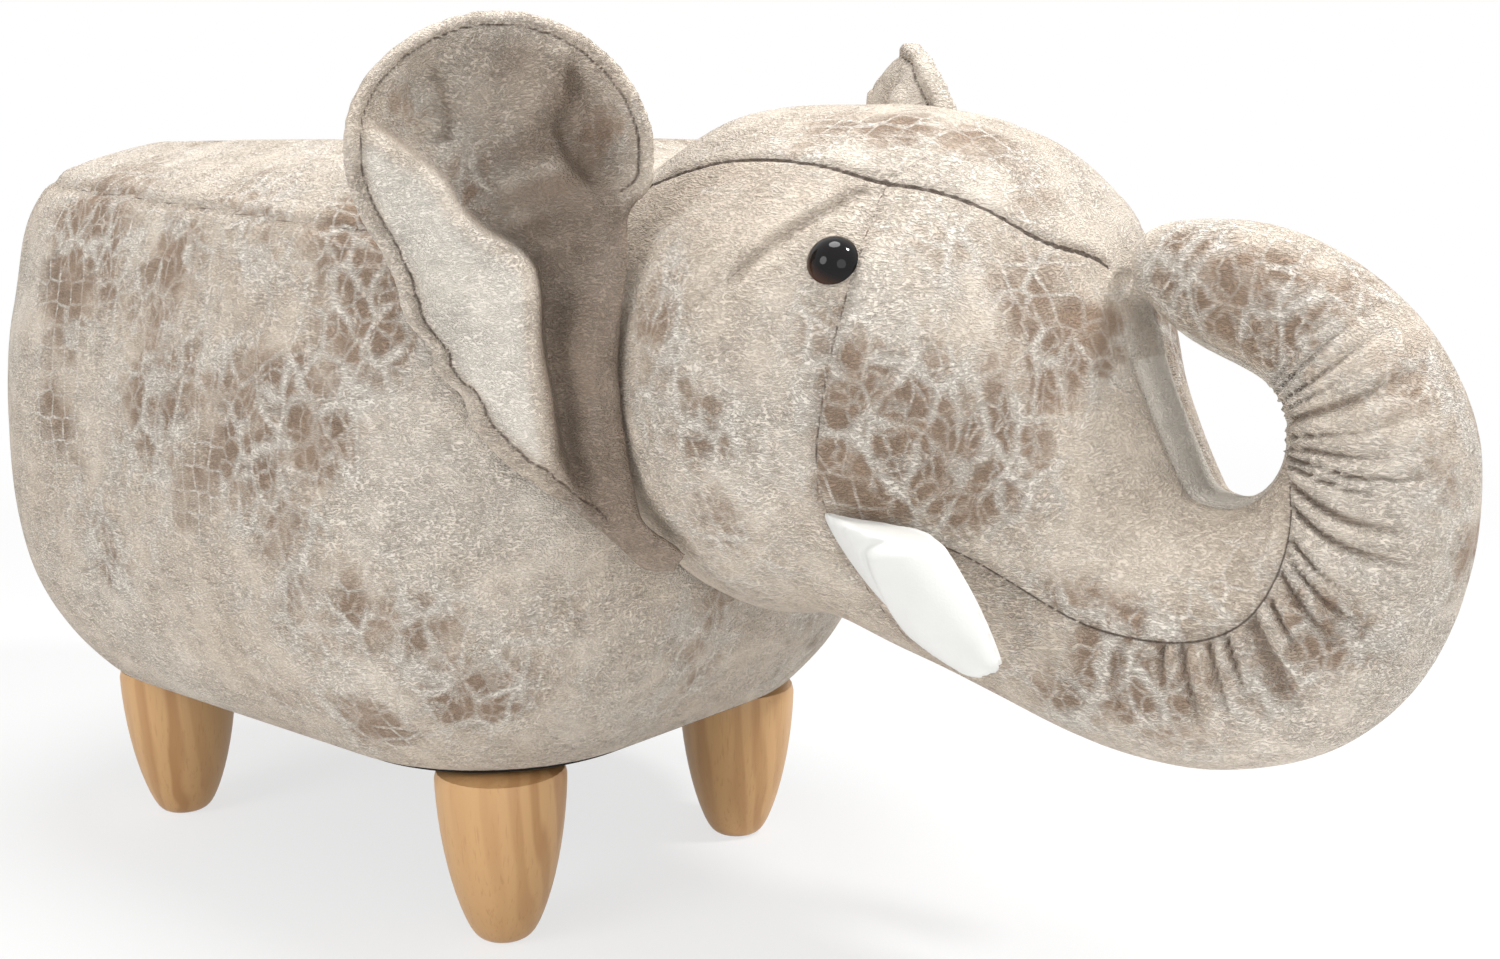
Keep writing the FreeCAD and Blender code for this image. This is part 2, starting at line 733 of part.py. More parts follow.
export("trunk_panel", trunk)

# Tusks, cut to the side of the face
head_clear = head_loft(-GAP)
tusk = tusk_loft(0.0).cut(head_clear)
tusk_fill = tusk_loft(COVER_T + GAP).cut(head_clear)
tusk_cover = tusk.cut(tusk_loft(COVER_T))
export("right_tusk_cover", tusk_cover)
export("left_tusk_cover", mirrored(tusk_cover))
export("right_tusk_stuffing", tusk_fill)
export("left_tusk_stuffing", mirrored(tusk_fill))

# Ears
axis_y = ear_axis_y(head_outer)
for name, shape in zip(("front", "back", "core"), ear_pieces(axis_y)):
    export("right_ear_" + name, shape)
    export("left_ear_" + name, mirrored(shape))

print("seat centre at X", round(-SHIFT_X, 3), "ear root at", round(EAR_X - SHIFT_X, 3), round(axis_y, 3))
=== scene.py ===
import math
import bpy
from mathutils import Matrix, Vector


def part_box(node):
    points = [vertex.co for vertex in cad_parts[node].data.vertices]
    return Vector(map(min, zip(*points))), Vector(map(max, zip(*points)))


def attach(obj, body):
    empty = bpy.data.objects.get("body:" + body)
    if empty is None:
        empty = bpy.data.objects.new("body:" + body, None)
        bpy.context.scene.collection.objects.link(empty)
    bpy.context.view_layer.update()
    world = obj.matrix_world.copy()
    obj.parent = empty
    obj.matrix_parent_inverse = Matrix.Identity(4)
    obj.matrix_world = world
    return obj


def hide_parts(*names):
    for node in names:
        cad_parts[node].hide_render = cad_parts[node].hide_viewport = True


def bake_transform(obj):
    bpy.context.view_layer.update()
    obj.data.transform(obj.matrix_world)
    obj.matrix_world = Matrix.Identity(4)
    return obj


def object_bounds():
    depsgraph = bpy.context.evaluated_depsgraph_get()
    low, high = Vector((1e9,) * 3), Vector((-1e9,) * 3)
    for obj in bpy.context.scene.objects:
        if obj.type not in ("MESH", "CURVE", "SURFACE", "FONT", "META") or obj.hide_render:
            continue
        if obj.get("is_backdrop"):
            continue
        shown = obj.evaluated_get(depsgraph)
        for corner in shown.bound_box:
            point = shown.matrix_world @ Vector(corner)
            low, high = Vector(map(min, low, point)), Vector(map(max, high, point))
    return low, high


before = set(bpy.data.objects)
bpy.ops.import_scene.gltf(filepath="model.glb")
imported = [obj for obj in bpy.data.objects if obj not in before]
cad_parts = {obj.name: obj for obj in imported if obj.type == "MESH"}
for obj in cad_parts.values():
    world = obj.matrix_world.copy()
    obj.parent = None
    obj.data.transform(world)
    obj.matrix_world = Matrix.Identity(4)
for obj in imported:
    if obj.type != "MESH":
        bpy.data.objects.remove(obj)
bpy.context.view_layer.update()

from types import SimpleNamespace

import bpy
import numpy as np
from mathutils import Vector, noise
from mathutils.kdtree import KDTree


# The hidden frame: base board, posts, seat board, head rail, head board and a thin wall of board.
# They are sawn from raw pale pine and plywood and screwed together, and the padding hides them.

def blank_finish(name, roughness, specular):
    material = bpy.data.materials.new(name)
    material.use_nodes = True
    shader = material.node_tree.nodes["Principled BSDF"]
    shader.inputs["Roughness"].default_value = roughness
    shader.inputs["Specular IOR Level"].default_value = specular
    return material, material.node_tree, shader


def add(tree, kind, settings=None, **sockets):
    """A shader node with its settings, and its sockets set or linked by name."""
    made = tree.nodes.new("ShaderNode" + kind)
    for key, value in (settings or {}).items():
        setattr(made, key, value)
    for key, value in sockets.items():
        plug(tree, made.inputs[key.replace("_", " ")], value)
    return made


def plug(tree, socket, value):
    if isinstance(value, bpy.types.NodeSocket):
        tree.links.new(value, socket)
    else:
        socket.default_value = value


def calc(tree, operation, first, second=0.0):
    made = tree.nodes.new("ShaderNodeMath")
    made.operation = operation
    plug(tree, made.inputs[0], first)
    plug(tree, made.inputs[1], second)
    return made.outputs[0]


def fade(tree, value, low, high, start=0.0, end=1.0):
    """Runs smoothly from start to end as value goes from low to high."""
    made = tree.nodes.new("ShaderNodeMapRange")
    made.interpolation_type = "SMOOTHSTEP"
    for socket, item in zip(made.inputs, (value, low, high, start, end)):
        plug(tree, socket, item)
    return made.outputs[0]


def tint(tree, share, under, over):
    made = tree.nodes.new("ShaderNodeMix")
    made.data_type = "RGBA"
    plug(tree, made.inputs[0], share)
    plug(tree, made.inputs[6], under)
    plug(tree, made.inputs[7], over)
    return made.outputs[2]


def at_scale(tree, vector, scale):
    made = tree.nodes.new("ShaderNodeVectorMath")
    made.operation = "MULTIPLY"
    plug(tree, made.inputs[0], vector)
    made.inputs[1].default_value = scale
    return made.outputs[0]


def dress(node, material):
    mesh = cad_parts[node].data
    mesh.materials.clear()
    mesh.materials.append(material)


def own_place(tree):
    return add(tree, "TexCoord").outputs["Object"]


def clouds(tree, place, scale, detail=2.0, rough=0.5):
    """Soft random shades over a piece, finer as scale grows."""
    return add(tree, "TexNoise", Vector=place, Scale=scale, Detail=detail, Roughness=rough).outputs[0]


def emboss(tree, shader, height, strength, depth):
    bump = add(tree, "Bump", Strength=strength, Distance=depth, Height=height)
    tree.links.new(bump.outputs[0], shader.inputs["Normal"])


def timber_finish(name, pale, dark, rough, bands):
    """Wood with grain that runs upright, growth bands and fine pores."""
    material, tree, shader = blank_finish(name, rough, 0.4)
    place = own_place(tree)
    upright = at_scale(tree, place, (1.0, 1.0, 0.09))
    wander = clouds(tree, upright, scale=26.0, detail=3.0)
    wave = add(tree, "TexWave", {"bands_direction": "DIAGONAL"}, Vector=upright, Scale=bands, Distortion=7.0,
               Detail=2.0, Detail_Scale=1.2)
    pores = clouds(tree, at_scale(tree, place, (1.0, 1.0, 0.03)), scale=900.0)
    share = calc(tree, "MULTIPLY", fade(tree, wave.outputs[1], 0.2, 0.9), fade(tree, wander, 0.3, 0.75))
    colour = tint(tree, share, (*pale, 1.0), (*dark, 1.0))
    colour = tint(tree, fade(tree, pores, 0.56, 0.72, 0.0, 0.35), colour, (*dark, 1.0))
    tree.links.new(colour, shader.inputs["Base Color"])
    emboss(tree, shader, pores, strength=0.25, depth=0.0003)
    return material


raw_timber = timber_finish("raw_timber", (0.62, 0.45, 0.25), (0.45, 0.29, 0.14), 0.75, 30.0)
for hidden in ("base_board", "seat_board", "front_right_post", "front_left_post", "rear_right_post",
               "rear_left_post", "head_rail", "head_board", "side_wall"):
    dress(hidden, raw_timber)


# Screws, staples, bolts, washers and tee nuts: bright zinc-plated steel with faint tool marks.
# They hold the frame, the legs and the head board, and only the staples show, from below.

zinc, tree, shader = blank_finish("zinc_plate", 0.34, 0.5)
shader.inputs["Metallic"].default_value = 1.0
cloud = clouds(tree, own_place(tree), scale=380.0, detail=4.0)
plated = tint(tree, cloud, (0.50, 0.51, 0.52, 1.0), (0.70, 0.70, 0.69, 1.0))
tree.links.new(plated, shader.inputs["Base Color"])
tree.links.new(fade(tree, cloud, 0.2, 0.8, 0.26, 0.46), shader.inputs["Roughness"])
for fixing in ("frame_screws", "cover_staples", "leg_hanger_bolts", "leg_tee_nuts", "head_bolts",
               "head_bolt_washers", "head_tee_nuts"):
    dress(fixing, zinc)


# The legs: turned from pale honey-coloured hardwood, belly tapering to a small flat foot.
# Clear satin lacquer; each is screwed up into a tee nut in the base board.

MM = 0.001
SHARP_EDGE = math.radians(40.0)
leg_wood = timber_finish("lacquered_leg_wood", (0.60, 0.36, 0.165), (0.42, 0.215, 0.085), 0.42, 42.0)
# height and radius of each turned ring, in millimetres
LEG_RINGS = [(0.0, 7.5), (0.6, 9.8), (2.2, 12.0), (5.0, 13.9), (10.0, 16.3), (20.0, 19.8), (32.0, 22.75),
             (46.0, 25.2), (60.0, 26.6), (70.0, 27.0), (75.6, 26.7)]
LEG_SIDES = 40

for corner in ("front_right", "front_left", "rear_right", "rear_left"):
    low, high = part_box(corner + "_leg")
    across, aside = (low[0] + high[0]) / 2, (low[1] + high[1]) / 2
    bpy.ops.object.select_all(action="DESELECT")
    bpy.ops.mesh.primitive_circle_add(vertices=LEG_SIDES, radius=LEG_RINGS[0][1] * MM, fill_type="NGON",
                                      location=(across, aside, 0.0))
    leg = bpy.context.view_layer.objects.active
    leg.name = corner + "_turned_leg"
    bpy.ops.object.transform_apply(location=True, rotation=True, scale=True)
    bpy.ops.object.mode_set(mode="EDIT")
    bpy.ops.mesh.select_all(action="SELECT")
    for (under, narrow), (over, broad) in zip(LEG_RINGS[:-1], LEG_RINGS[1:]):
        bpy.ops.mesh.extrude_region_move(TRANSFORM_OT_translate={"value": (0.0, 0.0, (over - under) * MM)})
        bpy.ops.transform.resize(value=(broad / narrow, broad / narrow, 1.0),
                                 center_override=(across, aside, over * MM))
    bpy.ops.mesh.select_all(action="SELECT")
    bpy.ops.mesh.normals_make_consistent(inside=False)
    bpy.ops.object.mode_set(mode="OBJECT")
    smooth = leg.modifiers.new("smooth_turning", "SUBSURF")
    smooth.levels = smooth.render_levels = 1
    bpy.ops.object.modifier_apply(modifier=smooth.name)
    bpy.ops.object.shade_smooth_by_angle(angle=SHARP_EDGE)
    leg.data.materials.append(leg_wood)
    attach(leg, "stool")
    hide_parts(corner + "_leg")


# The dust cover: black spun cloth, pressed with rows of small dots.
# It is stapled under the base board over the cover's turned-in hem.

dust_cloth, tree, shader = blank_finish("black_dust_cloth", 0.9, 0.2)
place = own_place(tree)
dots = add(tree, "TexVoronoi", Vector=place, Scale=520.0, Randomness=0.15).outputs["Distance"]
fibre = clouds(tree, place, scale=1500.0, detail=3.0)
black = tint(tree, fibre, (0.008, 0.008, 0.008, 1.0), (0.028, 0.027, 0.026, 1.0))
tree.links.new(black, shader.inputs["Base Color"])
emboss(tree, shader, fade(tree, dots, 0.15, 0.4), strength=0.5, depth=0.0003)
dress("dust_cover", dust_cloth)


# The seat body: foam over the frame, pulled tight into a cover of worn-print faux leather.
# The side panel and the seat top meet in one sewn seam that falls slightly towards the head.

def select_only(piece):
    bpy.ops.object.select_all(action="DESELECT")
    piece.select_set(True)
    bpy.context.view_layer.objects.active = piece


def apply_modifier(piece, kind, **settings):
    modifier = piece.modifiers.new(kind.lower(), kind)
    for key, value in settings.items():
        setattr(modifier, key, value)
    select_only(piece)
    bpy.ops.object.modifier_apply(modifier=modifier.name)


def rows_of(items, key):
    flat = np.empty(len(items) * 3, np.float32)
    items.foreach_get(key, flat)
    return flat.reshape(-1, 3).astype(float)


def points_of(piece):
    return rows_of(piece.data.vertices, "co")


def move_points(piece, points):
    piece.data.vertices.foreach_set("co", np.ascontiguousarray(points, np.float32).ravel())
    piece.data.update()


def normals_of(piece):
    return rows_of(piece.data.vertex_normals, "vector")


def outer_skin(name, nodes, voxel, smoothing):
    """One closed skin round the named solids, of even small faces."""
    bpy.ops.object.select_all(action="DESELECT")
    for node in nodes:
        copy = bpy.data.objects.new(name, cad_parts[node].data.copy())
        bpy.context.scene.collection.objects.link(copy)
        copy.select_set(True)
        bpy.context.view_layer.objects.active = copy
    if len(nodes) > 1:
        bpy.ops.object.join()
    skin = bpy.context.view_layer.objects.active
    skin.data.materials.clear()
    bpy.ops.object.mode_set(mode="EDIT")
    bpy.ops.mesh.select_all(action="SELECT")
    bpy.ops.mesh.remove_doubles(threshold=0.00001)
    bpy.ops.object.mode_set(mode="OBJECT")
    apply_modifier(skin, "REMESH", mode="VOXEL", voxel_size=voxel)
    bpy.ops.object.mode_set(mode="EDIT")
    bpy.ops.mesh.select_all(action="SELECT")
    bpy.ops.mesh.separate(type="LOOSE")
    bpy.ops.object.mode_set(mode="OBJECT")
    loose = sorted(bpy.context.selected_objects, key=lambda piece: -len(piece.data.vertices))
    for scrap in loose[1:]:
        bpy.data.objects.remove(scrap)
    skin = loose[0]
    skin.name = name
    apply_modifier(skin, "SMOOTH", factor=0.5, iterations=smoothing)
    return skin


STUFFING_PRESSURE = 4.0
SETTLING_STEPS = 20


def plump(skin, sewn, cap):
    """Lets the stuffing push the skin out between its sewn lines, no further than cap."""
    before = points_of(skin)
    group = skin.vertex_groups.new(name="sewn")
    group.add([int(index) for index in np.nonzero(sewn)[0]], 1.0, "REPLACE")
    cloth = skin.modifiers.new("stuffing", "CLOTH")
    cloth.settings.vertex_group_mass = "sewn"
    cloth.settings.use_pressure = True
    cloth.settings.uniform_pressure_force = STUFFING_PRESSURE
    cloth.settings.effector_weights.gravity = 0.0
    cloth.settings.quality = 4
    cloth.collision_settings.use_collision = False
    cloth.point_cache.frame_start = 1
    cloth.point_cache.frame_end = SETTLING_STEPS
    scene = bpy.context.scene
    for step in range(1, SETTLING_STEPS + 1):
        scene.frame_set(step)
    shaped = skin.evaluated_get(bpy.context.evaluated_depsgraph_get())
    swell = points_of(shaped) - before
    skin.modifiers.remove(cloth)
    skin.vertex_groups.clear()
    scene.frame_set(1)
    size = np.linalg.norm(swell, axis=1, keepdims=True)
    move_points(skin, before + swell * np.minimum(1.0, cap / np.maximum(size, 1e-9)))


def uneven(points, scale, seed):
    """A soft random field over the points, from about -1 to 1."""
    shift = Vector((seed * 7.31, seed * 3.17, seed * 5.77))
    return np.array([noise.noise(Vector(point) * scale + shift) for point in points])


def bell(distance, width):
    return np.exp(-(distance / width) ** 2)


def ease(value, low, high):
    share = np.clip((value - low) / (high - low), 0.0, 1.0)
    return share * share * (3.0 - 2.0 * share)


def note(piece, name, values, domain="POINT"):
    """Keeps one number for each point or face, for the finish to read."""
    attribute = piece.data.attributes.new(name, "FLOAT", domain)
    attribute.data.foreach_set("value", np.ascontiguousarray(values, np.float32))


def face_centres(piece):
    return rows_of(piece.data.polygons, "center")


SPOT_SPREAD = 1.7
SPOT_STRENGTH = 1.15
PANEL_JUMP = (0.37, 0.71, 0.13)
# the milky vein colour is also the painted highlight, and the wrinkle brown is also the painted shade
PALE = (0.71, 0.622, 0.522, 1.0)
MILKY_AND_HIGHLIGHT = (0.85, 0.80, 0.722, 1.0)
BROWN = (0.305, 0.215, 0.150, 1.0)
WRINKLE_AND_SHADE_BROWN = (0.205, 0.150, 0.110, 1.0)
THREAD_AND_GROOVE_SHADE = (0.075, 0.05, 0.035, 1.0)


def worn_spots(points, spots):
    """How worn the print is at each point, from soft round spots of x, y, z, size and strength."""
    total = np.zeros(len(points))
    for x, y, z, size, strength in spots:
        for side in (y, -y):
            away = np.linalg.norm(points - (x, side, z), axis=1)
            total = np.maximum(total, SPOT_STRENGTH * strength * bell(away, size * SPOT_SPREAD))
    return total


def worn_cover(name):
    """Faux leather: pale greige, brown worn cells in a net of milky veins, a fine wrinkled grain, and
    painted shade and highlight read from the points.
    """
    material, tree, shader = blank_finish(name, 0.7, 0.28)
    panel, worn, seam, painted_shading = [
        add(tree, "Attribute", {"attribute_name": kept}).outputs["Fac"]
        for kept in ("panel", "worn", "seam", "painted_shading")
    ]
    moved_on = add(tree, "VectorMath")
    tree.links.new(own_place(tree), moved_on.inputs[0])
    tree.links.new(at_scale(tree, panel, PANEL_JUMP), moved_on.inputs[1])
    place = moved_on.outputs[0]

    def sway(scale, amount):
        """The place, pushed about by soft noise so that printed lines wander."""
        push = add(tree, "TexNoise", Vector=place, Scale=scale, Detail=2.0, Roughness=0.5).outputs[1]
        moved = add(tree, "VectorMath", {"operation": "MULTIPLY_ADD"})
        tree.links.new(push, moved.inputs[0])
        moved.inputs[1].default_value = (amount, amount, amount)
        tree.links.new(place, moved.inputs[2])
        return moved.outputs[0]

    def cells(vector, scale, spread):
        return add(tree, "TexVoronoi", {"feature": "DISTANCE_TO_EDGE"}, Vector=vector, Scale=scale,
                   Randomness=spread).outputs[0]

    def times(first, second):
        return calc(tree, "MULTIPLY", first, second)

    # a net of veins: tall cells, small cells within them, and cells in rows on some patches
    blotch = clouds(tree, place, scale=24.0, detail=5.0, rough=0.62)
    cloud = clouds(tree, place, scale=9.0, detail=4.0, rough=0.6)
    mottle = clouds(tree, place, scale=110.0, detail=4.0, rough=0.65)
    haze = clouds(tree, place, scale=52.0, detail=4.0, rough=0.65)
    tall = cells(at_scale(tree, sway(40.0, 0.014), (1.0, 1.0, 0.62)), 80.0, 0.9)
    tight = cells(at_scale(tree, sway(90.0, 0.008), (1.0, 1.0, 0.7)), 150.0, 0.85)
    rows = cells(sway(18.0, 0.012), 104.0, 0.28)
    softness = fade(tree, haze, 0.32, 0.68, 0.05, 0.28)
    small_vein = times(fade(tree, tight, 0.0, 0.16, 1.0, 0.0), 0.62)
    vein = calc(tree, "MAXIMUM", fade(tree, tall, 0.0, softness, 1.0, 0.0), small_vein)
    row_share = fade(tree, clouds(tree, place, scale=15.0, detail=1.0), 0.53, 0.58)
    row_vein = fade(tree, rows, 0.01, 0.10, 0.85, 0.0)
    vein = times(vein, calc(tree, "SUBTRACT", 1.0, row_share))
    vein = calc(tree, "ADD", vein, times(row_vein, row_share))

    # the print: pale ground, brown where it is worn, milky along the veins
    patch = calc(tree, "ADD", worn, times(calc(tree, "SUBTRACT", blotch, 0.52), 1.7))
    brownness = fade(tree, patch, 0.14, 0.62, 0.0, 0.97)
    veined = fade(tree, patch, -0.08, 0.32, 0.0, 0.95)
    crackle = times(times(vein, veined), fade(tree, haze, 0.36, 0.60, 0.3, 0.95))
    colour = tint(tree, fade(tree, cloud, 0.42, 0.72, 0.0, 0.5), PALE, MILKY_AND_HIGHLIGHT)
    colour = tint(tree, fade(tree, cloud, 0.28, 0.48, 0.22, 0.0), colour, BROWN)
    colour = tint(tree, brownness, colour, BROWN)
    colour = tint(tree, crackle, colour, MILKY_AND_HIGHLIGHT)
    colour = tint(tree, fade(tree, mottle, 0.3, 0.7, 0.18, 0.0), colour, BROWN)

    # the pressed grain: fine wrinkles all over, longer lines here and there, and pits
    grain_place = at_scale(tree, sway(60.0, 0.006), (1.0, 1.6, 2.7))
    grain = clouds(tree, grain_place, scale=640.0, detail=2.0, rough=0.55)
    pits = clouds(tree, place, scale=900.0)
    line_place = at_scale(tree, sway(30.0, 0.010), (1.0, 1.5, 3.6))
    long_lines = clouds(tree, line_place, scale=230.0, detail=3.0, rough=0.6)
    lined = times(fade(tree, long_lines, 0.37, 0.45, 1.0, 0.0), fade(tree, haze, 0.38, 0.62, 0.15, 1.0))
    creased = times(fade(tree, grain, 0.36, 0.57, 1.0, 0.0), fade(tree, haze, 0.3, 0.6, 0.35, 0.85))
    colour = tint(tree, times(creased, 0.33), colour, WRINKLE_AND_SHADE_BROWN)
    colour = tint(tree, times(lined, 0.30), colour, WRINKLE_AND_SHADE_BROWN)
    colour = tint(tree, fade(tree, pits, 0.4, 0.7, 0.06, 0.0), colour, WRINKLE_AND_SHADE_BROWN)

    # painted shade in folds, creases and gaps, painted highlight on turned edges, and seams with painted
    # groove shade and their thread
    colour = tint(tree, fade(tree, painted_shading, 0.0, 1.0, 0.0, 0.82), colour, WRINKLE_AND_SHADE_BROWN)
    colour = tint(tree, fade(tree, painted_shading, -1.0, 0.0, 0.75, 0.0), colour, MILKY_AND_HIGHLIGHT)
    # painted groove shade: a soft darkening beside each seam, and a thin dark line that is partly thread and
    # partly painted shade of the groove
    colour = tint(tree, fade(tree, seam, 0.0, 0.005, 0.22, 0.0), colour, WRINKLE_AND_SHADE_BROWN)
    colour = tint(tree, fade(tree, seam, 0.0003, 0.0009, 0.85, 0.0), colour, THREAD_AND_GROOVE_SHADE)
    tree.links.new(colour, shader.inputs["Base Color"])
    tree.links.new(fade(tree, patch, 0.1, 0.7, 0.74, 0.58), shader.inputs["Roughness"])
    height = calc(tree, "SUBTRACT", times(pits, 0.15), times(creased, 1.5))
    height = calc(tree, "ADD", height, times(grain, 0.8))
    height = calc(tree, "SUBTRACT", height, times(lined, 0.9))
    emboss(tree, shader, height, strength=0.8, depth=0.0008)
    return material


SEAM_AT_ORIGIN = 0.28865
SEAM_FALL = math.tan(math.radians(3.5))
BODY_UNDER = 0.0845
BODY_MIDDLE_X = -0.1366
SEAM_REACH = 20.0 * MM
# place of each worn patch of the print, its size and its strength
BODY_SPOTS = [
    (-0.187, -0.141, 0.285, 0.019, 0.80), (-0.200, -0.147, 0.260, 0.017, 0.60),
    (-0.127, -0.147, 0.260, 0.020, 0.50), (-0.088, -0.140, 0.290, 0.015, 0.35),
    (-0.022, -0.136, 0.282, 0.016, 0.75), (-0.024, -0.142, 0.254, 0.018, 0.60),
    (-0.121, -0.153, 0.226, 0.018, 0.70), (-0.080, -0.154, 0.210, 0.023, 0.60),
    (-0.045, -0.152, 0.228, 0.016, 0.75), (-0.031, -0.150, 0.215, 0.011, 0.80),
    (-0.101, -0.155, 0.193, 0.019, 0.50), (-0.148, -0.154, 0.211, 0.016, 0.30),
    (-0.052, -0.154, 0.168, 0.019, 0.50), (-0.022, -0.147, 0.152, 0.018, 0.50),
    (-0.006, -0.137, 0.138, 0.020, 0.60), (0.008, -0.121, 0.122, 0.018, 0.60),
    (-0.025, -0.128, 0.101, 0.015, 0.60), (-0.164, -0.153, 0.151, 0.017, 0.25),
    (-0.201, -0.154, 0.206, 0.013, 0.30), (0.050, -0.035, 0.134, 0.016, 0.40),
    (-0.322, -0.060, 0.240, 0.024, 0.60), (-0.327, 0.020, 0.180, 0.026, 0.55),
    (-0.300, -0.085, 0.150, 0.020, 0.45), (-0.318, 0.0, 0.110, 0.022, 0.4),
    (-0.180, 0.040, 0.319, 0.028, 0.55), (-0.090, -0.050, 0.319, 0.026, 0.5),
    (-0.230, -0.045, 0.317, 0.024, 0.5), (-0.040, 0.030, 0.318, 0.022, 0.4),
]
body_cover_finish = worn_cover("worn_print_cover")


def over_seat_seam(points):
    return points[:, 2] - (SEAM_AT_ORIGIN - SEAM_FALL * points[:, 0])


seat_body = outer_skin("seat_body", ("body_side_cover", "seat_top_cover", "side_foam", "seat_foam",
                                     "seat_board", "side_wall", "base_board"), 5.0 * MM, 4)
points = points_of(seat_body)
sewn = np.abs(over_seat_seam(points)) < 3.0 * MM
plump(seat_body, sewn | (points[:, 2] < BODY_UNDER), 3.0 * MM)
apply_modifier(seat_body, "SUBSURF", levels=1, render_levels=1)

points = points_of(seat_body)
outward = normals_of(seat_body)
above_seam = over_seat_seam(points)
round_seam = np.arctan2(points[:, 1], points[:, 0] - BODY_MIDDLE_X)
pucker = np.sin(round_seam * 150.0 + 2.0 * np.sin(round_seam * 23.0)) * bell(above_seam, 7.0 * MM)
lift = -1.5 * MM * bell(above_seam, 2.4 * MM) + 0.35 * MM * pucker
lift += 0.9 * MM * uneven(points, 11.0, 1) + 0.35 * MM * uneven(points, 34.0, 2)
lift *= ease(points[:, 2], BODY_UNDER - 4.0 * MM, BODY_UNDER + 10.0 * MM)
move_points(seat_body, points + outward * lift[:, None])
note(seat_body, "seam", np.minimum(np.abs(above_seam) + 0.35 * MM, SEAM_REACH))
note(seat_body, "worn", worn_spots(points, BODY_SPOTS))
note(seat_body, "painted_shading", np.zeros(len(points)))
note(seat_body, "panel", np.where(over_seat_seam(face_centres(seat_body)) > 0.0, 2.0, 1.0), "FACE")
seat_body.data.materials.append(body_cover_finish)
seat_body.data.shade_smooth()
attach(seat_body, "stool")
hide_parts("body_side_cover", "seat_top_cover", "side_foam", "seat_foam")


# The head and curled trunk: fibre stuffing in a sewn skin of crown, cheeks, faces and trunk panels.
# The trunk's outer panel is gathered on to the shorter inner seam, so it pleats all round the curl.

NECK_X = 13.411 * MM
NECK_RUN = 73.0 * MM
HEAD_Z = 238.0 * MM
BROW_R = 178.0 * MM
CURL_R = 54.0 * MM
FACE_SLOPE = math.radians(45.0)
BROW_X = NECK_X + NECK_RUN
BROW_Z = HEAD_Z - BROW_R
CURL_X = BROW_X + (BROW_R + CURL_R) * math.sin(FACE_SLOPE)
CURL_Z = BROW_Z + (BROW_R + CURL_R) * math.cos(FACE_SLOPE)
BROW_TURNS = np.radians([0.0, 22.5, 29.7, 36.9, 45.0])
BROW_HEIGHTS = np.array([99.0, 93.0, 74.5, 52.5, 42.0]) * MM
BAND_HALF = 12.0 * MM
CURL_HOLE_R = 40.0 * MM
NO_SEAM = 1.0
INSIDE_BODY_X = 50.0 * MM
TIP_TURN = math.radians(70.0)
HOLE_TURN = math.radians(10.0)
SEAM_WIDTH = 1.7 * MM
CROWN_DEPTH = 1.0 * MM
CHEEK_DEPTH = 0.8 * MM
GATHER_DEPTH = 1.3 * MM
BAND_DEPTH = 0.9 * MM
DART_STEP = 1.3 * MM
DART_DEPTH = 0.8 * MM
EYE_PAD = 1.5 * MM
EYE_SOCKET = 1.0 * MM
PLEATS_ROUND = 47.0
PLEAT_DEPTH = 3.4 * MM
PLEAT_PUFF = 1.1 * MM
PLEAT_SHORT = 16.0 * MM
PLEAT_LONGER = 18.0 * MM
EAR_SHADE_X = 64.0 * MM
EAR_SHADE_Y = 99.0 * MM
# seams as lines of x and distance from the middle (crown) or of x and height (the rest)
CROWN_LINE = [
    (0.010, 0.060), (0.070, 0.0625), (0.0823, 0.0604), (0.1002, 0.0603), (0.1182, 0.0611),
    (0.1398, 0.0622), (0.153, 0.0609), (0.1662, 0.0545), (0.1763, 0.0494), (0.1861, 0.0437),
    (0.1941, 0.0383), (0.2004, 0.0298), (0.2050, 0.0185), (0.2085, 0.0110),
]
CHEEK_LINE = [
    (0.1530, 0.3089), (0.1552, 0.2955), (0.1566, 0.2816), (0.1550, 0.2677), (0.1533, 0.2489),
    (0.1501, 0.2295), (0.1471, 0.2125), (0.1478, 0.2021), (0.150, 0.190), (0.153, 0.170),
    (0.156, 0.150),
]
DART_LINE = [
    (0.1530, 0.3089), (0.1471, 0.3054), (0.1408, 0.3006), (0.1334, 0.2952), (0.1258, 0.2887),
    (0.1184, 0.2809), (0.1119, 0.2740), (0.1088, 0.2706),
]
GATHER_LINE = [
    (0.1500, 0.2010), (0.1680, 0.1965), (0.1852, 0.1902), (0.2002, 0.1818), (0.2157, 0.1727),
    (0.2318, 0.1672), (0.2567, 0.1664), (0.2741, 0.1743), (0.2821, 0.1902), (0.2827, 0.2075),
    (0.2752, 0.2205),
]
